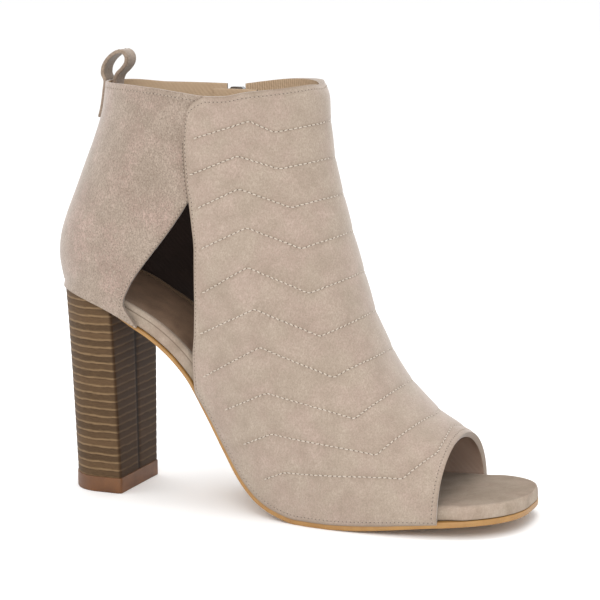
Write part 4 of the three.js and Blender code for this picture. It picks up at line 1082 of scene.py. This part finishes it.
def soleRing(x):
    fore = float(smoothStep(x, soleShape["thickFrom"] * length, soleShape["thickTo"] * length))
    thick = boot["soleWaist"] + (boot["soleFore"] - boot["soleWaist"]) * fore
    reach = float(marginAt["sole"](x / length) * roundEnd((length - endGap - x) / (length * soleShape["frontFade"]), 2))
    bevel = soleShape["bevel"]
    halves = [max(float(outlineHalf(x, side)) + reach, 0.7) for side in (1, -1)]
    edge = [(bevel, 0), (bevel * 0.3, bevel * 0.3), (0, bevel)]  # in from the side, in from the face
    return bothHalves(*([(h * 0.3, -thick), (h * 0.7, -thick), *((h - a, b - thick) for a, b in edge),
                         *((h - a, -b) for a, b in reversed(edge)), (h * 0.7, 0), (h * 0.3, 0)] for h in halves))


stations = np.concatenate([np.linspace(soleShape["breast"], toeTurn, 150),
                           toeTurn + (length - endGap - toeTurn) * endTurn[1:]])
outsole = ringPiece("outsoleEdge", plateRings(stations, soleRing), soleEdge)
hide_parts("outsole")
print("sole made")

# Heel: a D-shaped block of thin lifts over a tan top piece
heel = {"breast": 35.0, "lean": 1.6, "depth": 28.0, "width": 38.4, "inset": 0.9, "corner": 1.6, "tip": 7.0,
        "proud": 0.3, "footRound": 0.56, "seatRound": 0.6, "seatNarrow": 0.07, "flare": 0.18,
        "pitch": 3.5, "groove": 0.12, "grooveWidth": 0.14, "joinDepth": 0.35, "joinWidth": 0.55, "rows": 200}
tipRows = [(0.0, 0.5), (0.12, 0.15), (0.45, 0.0), (3.4, 0.0), (6.5, 0.0), (6.85, 0.12), (6.98, 0.45)]  # height, inset


# Half of the heel's plan, from the flat breast round a small corner and along the side to the back
def heelHalf(frontX, backX, sideX, halfAt):
    r = heel["corner"]
    edge = float(halfAt(np.array(frontX - r)))
    points = [(frontX, (edge - r) * t) for t in np.linspace(0, 1, 12, endpoint=False)]
    points += [(frontX - r + r * math.cos(t), edge - r + r * math.sin(t)) for t in np.linspace(0, np.pi / 2, 7)]
    xs = [frontX - r + (sideX - frontX + r) * t for t in np.linspace(0, 1, 13)[1:]]
    xs += [sideX - (sideX - backX) * math.sin(np.pi / 2 * t) for t in np.linspace(0, 1, 27)[1:-1]]
    return points + [(x, float(halfAt(np.array(x)))) for x in xs] + [(backX, 0.0)]


def heelFoot(grow):
    half = heel["width"] / 2 + grow
    front, back = heel["breast"] + grow, heel["breast"] - heel["depth"] - grow
    side = back + (front - back) * heel["footRound"]

    def halfAt(x):
        return half * np.where(x >= side, 1, np.sqrt(np.maximum(0, 1 - ((side - x) / (side - back)) ** 2)))

    return bothSides(*[heelHalf(front, back, side, halfAt)] * 2)


def heelSeat(side):
    line = outlineOffset(side, lambda x: np.full(np.shape(x), -heel["inset"]))
    front, back = heel["breast"] - heel["lean"], heelStart + heel["inset"] + endGap
    middle = back + (front - back) * heel["seatRound"]

    def halfAt(x):
        return line(x) * (1 - heel["seatNarrow"] * np.maximum(0, (x - middle) / (front - middle)))

    return heelHalf(front, back, middle, halfAt)


def bothSides(outer, inner):
    return np.array([(x, -y) for x, y in outer] + inner[-2:0:-1])


foot, seat = heelFoot(0), bothSides(heelSeat(-1), heelSeat(1))
rings, marks = [], {"lift": [], "join": [], "breast": []}
for t in np.linspace(0, 1, heel["rows"] + 1):
    ring = foot + (seat - foot) * ((1 - heel["flare"]) * t + heel["flare"] * t ** 3)
    z = heel["tip"] + (feather(ring[:, 0]) - heel["tip"]) * t
    lift = (z - heel["tip"]) / heel["pitch"]
    groove = heel["groove"] * np.exp(-((lift - np.round(lift)) / heel["grooveWidth"]) ** 2)
    along = np.roll(ring, -1, axis=0) - np.roll(ring, 1, axis=0)
    outward = unit(np.stack([-along[:, 1], along[:, 0]], axis=1))
    outward *= np.sign(((ring - ring.mean(axis=0)) * outward).sum(axis=1, keepdims=True))
    # Painted shade on the breast face
    breast = smoothStep(ring[:, 0], ring[:, 0].max() - 1.2, ring[:, 0].max() - 0.2)
    join = np.exp(-(ring[:, 1] / heel["joinWidth"]) ** 2) * breast
    moved = ring - outward * (groove + heel["joinDepth"] * join)[:, None]
    rings.append(np.column_stack([moved, z]))
    for key, mark in zip(marks, (lift, join, breast)):
        marks[key].append(mark)
marks = {key: closeRings(mark) for key, mark in marks.items()}
heelBlock = ringPiece("heelStack", closeRings(rings), stack, marks)
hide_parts("heel_block")

tipOutline = heelFoot(heel["proud"])
inward = unit(tipOutline.mean(axis=0) - tipOutline)
rings = [np.column_stack([tipOutline + inward * inset, np.full(len(tipOutline), z)]) for z, inset in tipRows]
heelTip = ringPiece("heelTip", closeRings(rings), tipRubber)
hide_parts("heel_tip")
print("heel made")

# Pull loop: one strap sewn down the back seam, over and into the boot
loop = {"width": 9.0, "thick": 1.7, "rise": 14.0, "tail": 16.0, "tuck": 11.0, "slack": 0.75, "edge": 0.45,
        "stitchInset": 1.3}
loopRows = {
    "reach": [-0.086, -0.036, 0.136, 0.386, 0.607, 0.736, 0.721, 0.586, 0.41],
    "rise": [0.23, 0.486, 0.72, 0.893, 0.914, 0.77, 0.57, 0.386, 0.214],
}
seamK = np.linspace(heelCorner + 0.01, lastSection, 200)


def seamX(z, out):
    line = skin(seamK, 2.0, 1, out)
    return float(np.interp(z, line[:, 2], line[:, 0]))


loopTop = float(collarHeight(seamX(boot["collar"], 0), 1))
outside = 1.5 * boot["clearance"] + loop["thick"] / 2
inside = -(boot["wall"] + boot["clearance"] + loop["slack"] + loop["thick"] / 2)
tail = [(seamX(loopTop - d, outside), loopTop - d) for d in np.linspace(loop["tail"], 0, 5)]
arch = [(tail[-1][0] + reach * loop["rise"], loopTop + rise * loop["rise"])
        for reach, rise in zip(loopRows["reach"], loopRows["rise"])]
tuck = [(seamX(loopTop - d, inside), loopTop - d) for d in np.linspace(0, loop["tuck"], 4)]
knots = extended(np.array(tail + arch + tuck))
curve = np.array([spline(*four, t) for four in zip(knots[:-3], knots[1:-2], knots[2:-1], knots[3:])
                  for t in np.linspace(0, 1, 12, endpoint=False)] + [knots[-2]])
along = unit(np.gradient(curve, axis=0))
facing = np.stack([along[:, 1], -along[:, 0]], axis=1)
halfWidth, halfThick, edge = loop["width"] / 2, loop["thick"] / 2, loop["edge"]
crossing = [(halfWidth, edge - halfThick), (halfWidth, halfThick - edge)]
crossing += [(halfWidth - edge * 0.3, halfThick - edge * 0.3)]
crossing += [(y, halfThick) for y in np.linspace(halfWidth - edge, edge - halfWidth, 9)]
crossing += [(-y, h) for y, h in reversed(crossing[:3])]
crossing += [(-y, -h) for y, h in crossing[2:12]]
rings = [[(p[0] + n[0] * h, y, p[1] + n[1] * h) for y, h in crossing] for p, n in zip(curve, facing)]
pullLoop = ringPiece("pullLoop", closeRings(rings), strapSuede)
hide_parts("pull_loop")

outward = facing if facing[2][0] < 0 else -facing
loopThreads = bmesh.new()
for y in (loop["stitchInset"] - halfWidth, halfWidth - loop["stitchInset"]):
    line = np.insert(curve + outward * halfThick, 1, y, axis=1)
    sewRow(loopThreads, line, np.insert(outward, 1, 0, axis=1), edgeStitch)
loopStitch = finishMesh("loopStitch", loopThreads, [toneThread])
print("pull loop made")


# Zip on the inner side: how far out its wall stands at x and the heights z
def innerWall(x, z, out):
    turn = rowCrossing(turnRows, 1, out, lambda px, pz: px - x)
    kept = turn < 1.999
    line = skin(turnRows[kept], turn[kept], 1, out)
    order = np.argsort(line[:, 2])
    return np.interp(z, line[order, 2], line[order, 1])


tapeX = zipSizes["along"] + np.linspace(-zipSizes["tapeWidth"] / 2, zipSizes["tapeWidth"] / 2, 13)
tapeZ = np.linspace(zipFoot - zipSizes["tapeBelow"], zipTop - zipSizes["tapeShort"], 90)
tapeOut = -boot["wall"] - boot["clearance"]
columns = [np.column_stack([np.full(len(tapeZ), x), innerWall(x, tapeZ, tapeOut), tapeZ]) for x in tapeX]
points = np.stack(columns, axis=1)
bm = gridBmesh(points)
faceOutward(bm, points, np.broadcast_to([0.0, 1.0, 0.0], points.shape))
zipTape = finishMesh("zipTape", bm, [tape, lining])
addWall(zipTape, zipSizes["tapeDepth"], 0.15, 2)
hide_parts("zip_tape")

tooth = {"pitch": 1.3, "wide": 2.9, "tall": 0.82, "lap": 0.95, "bevel": 0.14, "above": 5.2}
toothZ = np.arange(zipFoot + tooth["above"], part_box("zip_chain")[1].z * 1000, tooth["pitch"] / 2)
toothY = innerWall(zipSizes["along"], toothZ, -boot["wall"] + zipSizes["chainDepth"] / 2)
bm = bmesh.new()
for index, (z, y, rise) in enumerate(zip(toothZ, toothY, np.gradient(toothY, toothZ))):
    up = unit(np.array([0, rise, 1]))
    out = np.array([0, up[2], -up[1]])
    axes = [np.array([tooth["wide"], 0, 0]) * 0.001, out * zipSizes["chainDepth"] * 0.001, up * tooth["tall"] * 0.001]
    x = zipSizes["along"] + (tooth["lap"] if index % 2 else -tooth["lap"])
    bmesh.ops.create_cube(bm, size=1, matrix=placed(axes, toFrame([x, y, z])))
bmesh.ops.bevel(bm, geom=bm.edges[:], offset=tooth["bevel"] * 0.001, segments=2, affect="EDGES", profile=0.5,
                material=-1)
teeth = finishMesh("zipTeeth", bm, [metal])
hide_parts("zip_chain")

castRims = {"zip_stop": 0.25, "zip_slider": 0.3, "zip_pull": 0.3}
for name, width in castRims.items():
    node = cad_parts[name]
    node.data.materials.clear()
    node.data.materials.append(metal)
    addRim(node, width, 3, 35)
print("zip made")

# Floor, lights and camera
studio = {"floor": 6.0, "paper": 0.96, "sky": 1.04, "aim": (0.0, 0.0, 0.09)}
bm = bmesh.new()
bmesh.ops.create_grid(bm, x_segments=1, y_segments=1, size=studio["floor"])
paper, tree, shader = newMaterial("floorPaper")
setInputs(tree, shader, {"Base Color": (studio["paper"],) * 3 + (1.0,), "Roughness": 0.9, "Specular IOR Level": 0.1})
floor = addObject("floor", meshFrom("floor", bm, [paper]))

world = bpy.data.worlds.new("studio")
world.use_nodes = True
sky = world.node_tree.nodes["Background"]
setInputs(world.node_tree, sky, {"Color": (1.0, 1.0, 1.0, 1.0), "Strength": studio["sky"]})
bpy.context.scene.world = world


# An object that looks along a direction
def addLooking(name, data, place, direction):
    made = addObject(name, data)
    made.location = place
    made.rotation_mode = "QUATERNION"
    made.rotation_quaternion = direction.to_track_quat("-Z", "Y")
    return made


lights = {
    "keyLight": {"place": (0.45, -1.4, 1.3), "size": 0.9, "power": 11.0},
    "frontLight": {"place": (1.0, -1.7, 0.45), "size": 0.5, "power": 4.0},
    "fillLight": {"place": (-1.3, -0.9, 0.8), "size": 1.2, "power": 3.5},
    "topLight": {"place": (-0.1, 0.3, 1.7), "size": 1.3, "power": 11.0},
}
for name, light in lights.items():
    lamp = bpy.data.lights.new(name, "AREA")
    lamp.size, lamp.energy = light["size"], light["power"]
    addLooking(name, lamp, light["place"], Vector(studio["aim"]) - Vector(light["place"]))

view = {"azimuth": 22.0, "elevation": 10.16, "lens": 136.2, "distance": 0.98064, "aim": (0.004103, 0.0, 0.08954)}
camera = bpy.data.cameras.new("camera")
camera.lens, camera.sensor_width = view["lens"], 36.0
camera.clip_start, camera.clip_end = 0.01, 50
azimuth, elevation = math.radians(view["azimuth"]), math.radians(view["elevation"])
back = Vector((math.sin(azimuth) * math.cos(elevation), -math.cos(azimuth) * math.cos(elevation), math.sin(elevation)))
scene = bpy.context.scene
scene.camera = addLooking("camera", camera, Vector(view["aim"]) + back * view["distance"], -back)
scene.view_settings.view_transform = "Standard"
scene.view_settings.exposure = 0.0

print("scene ready")
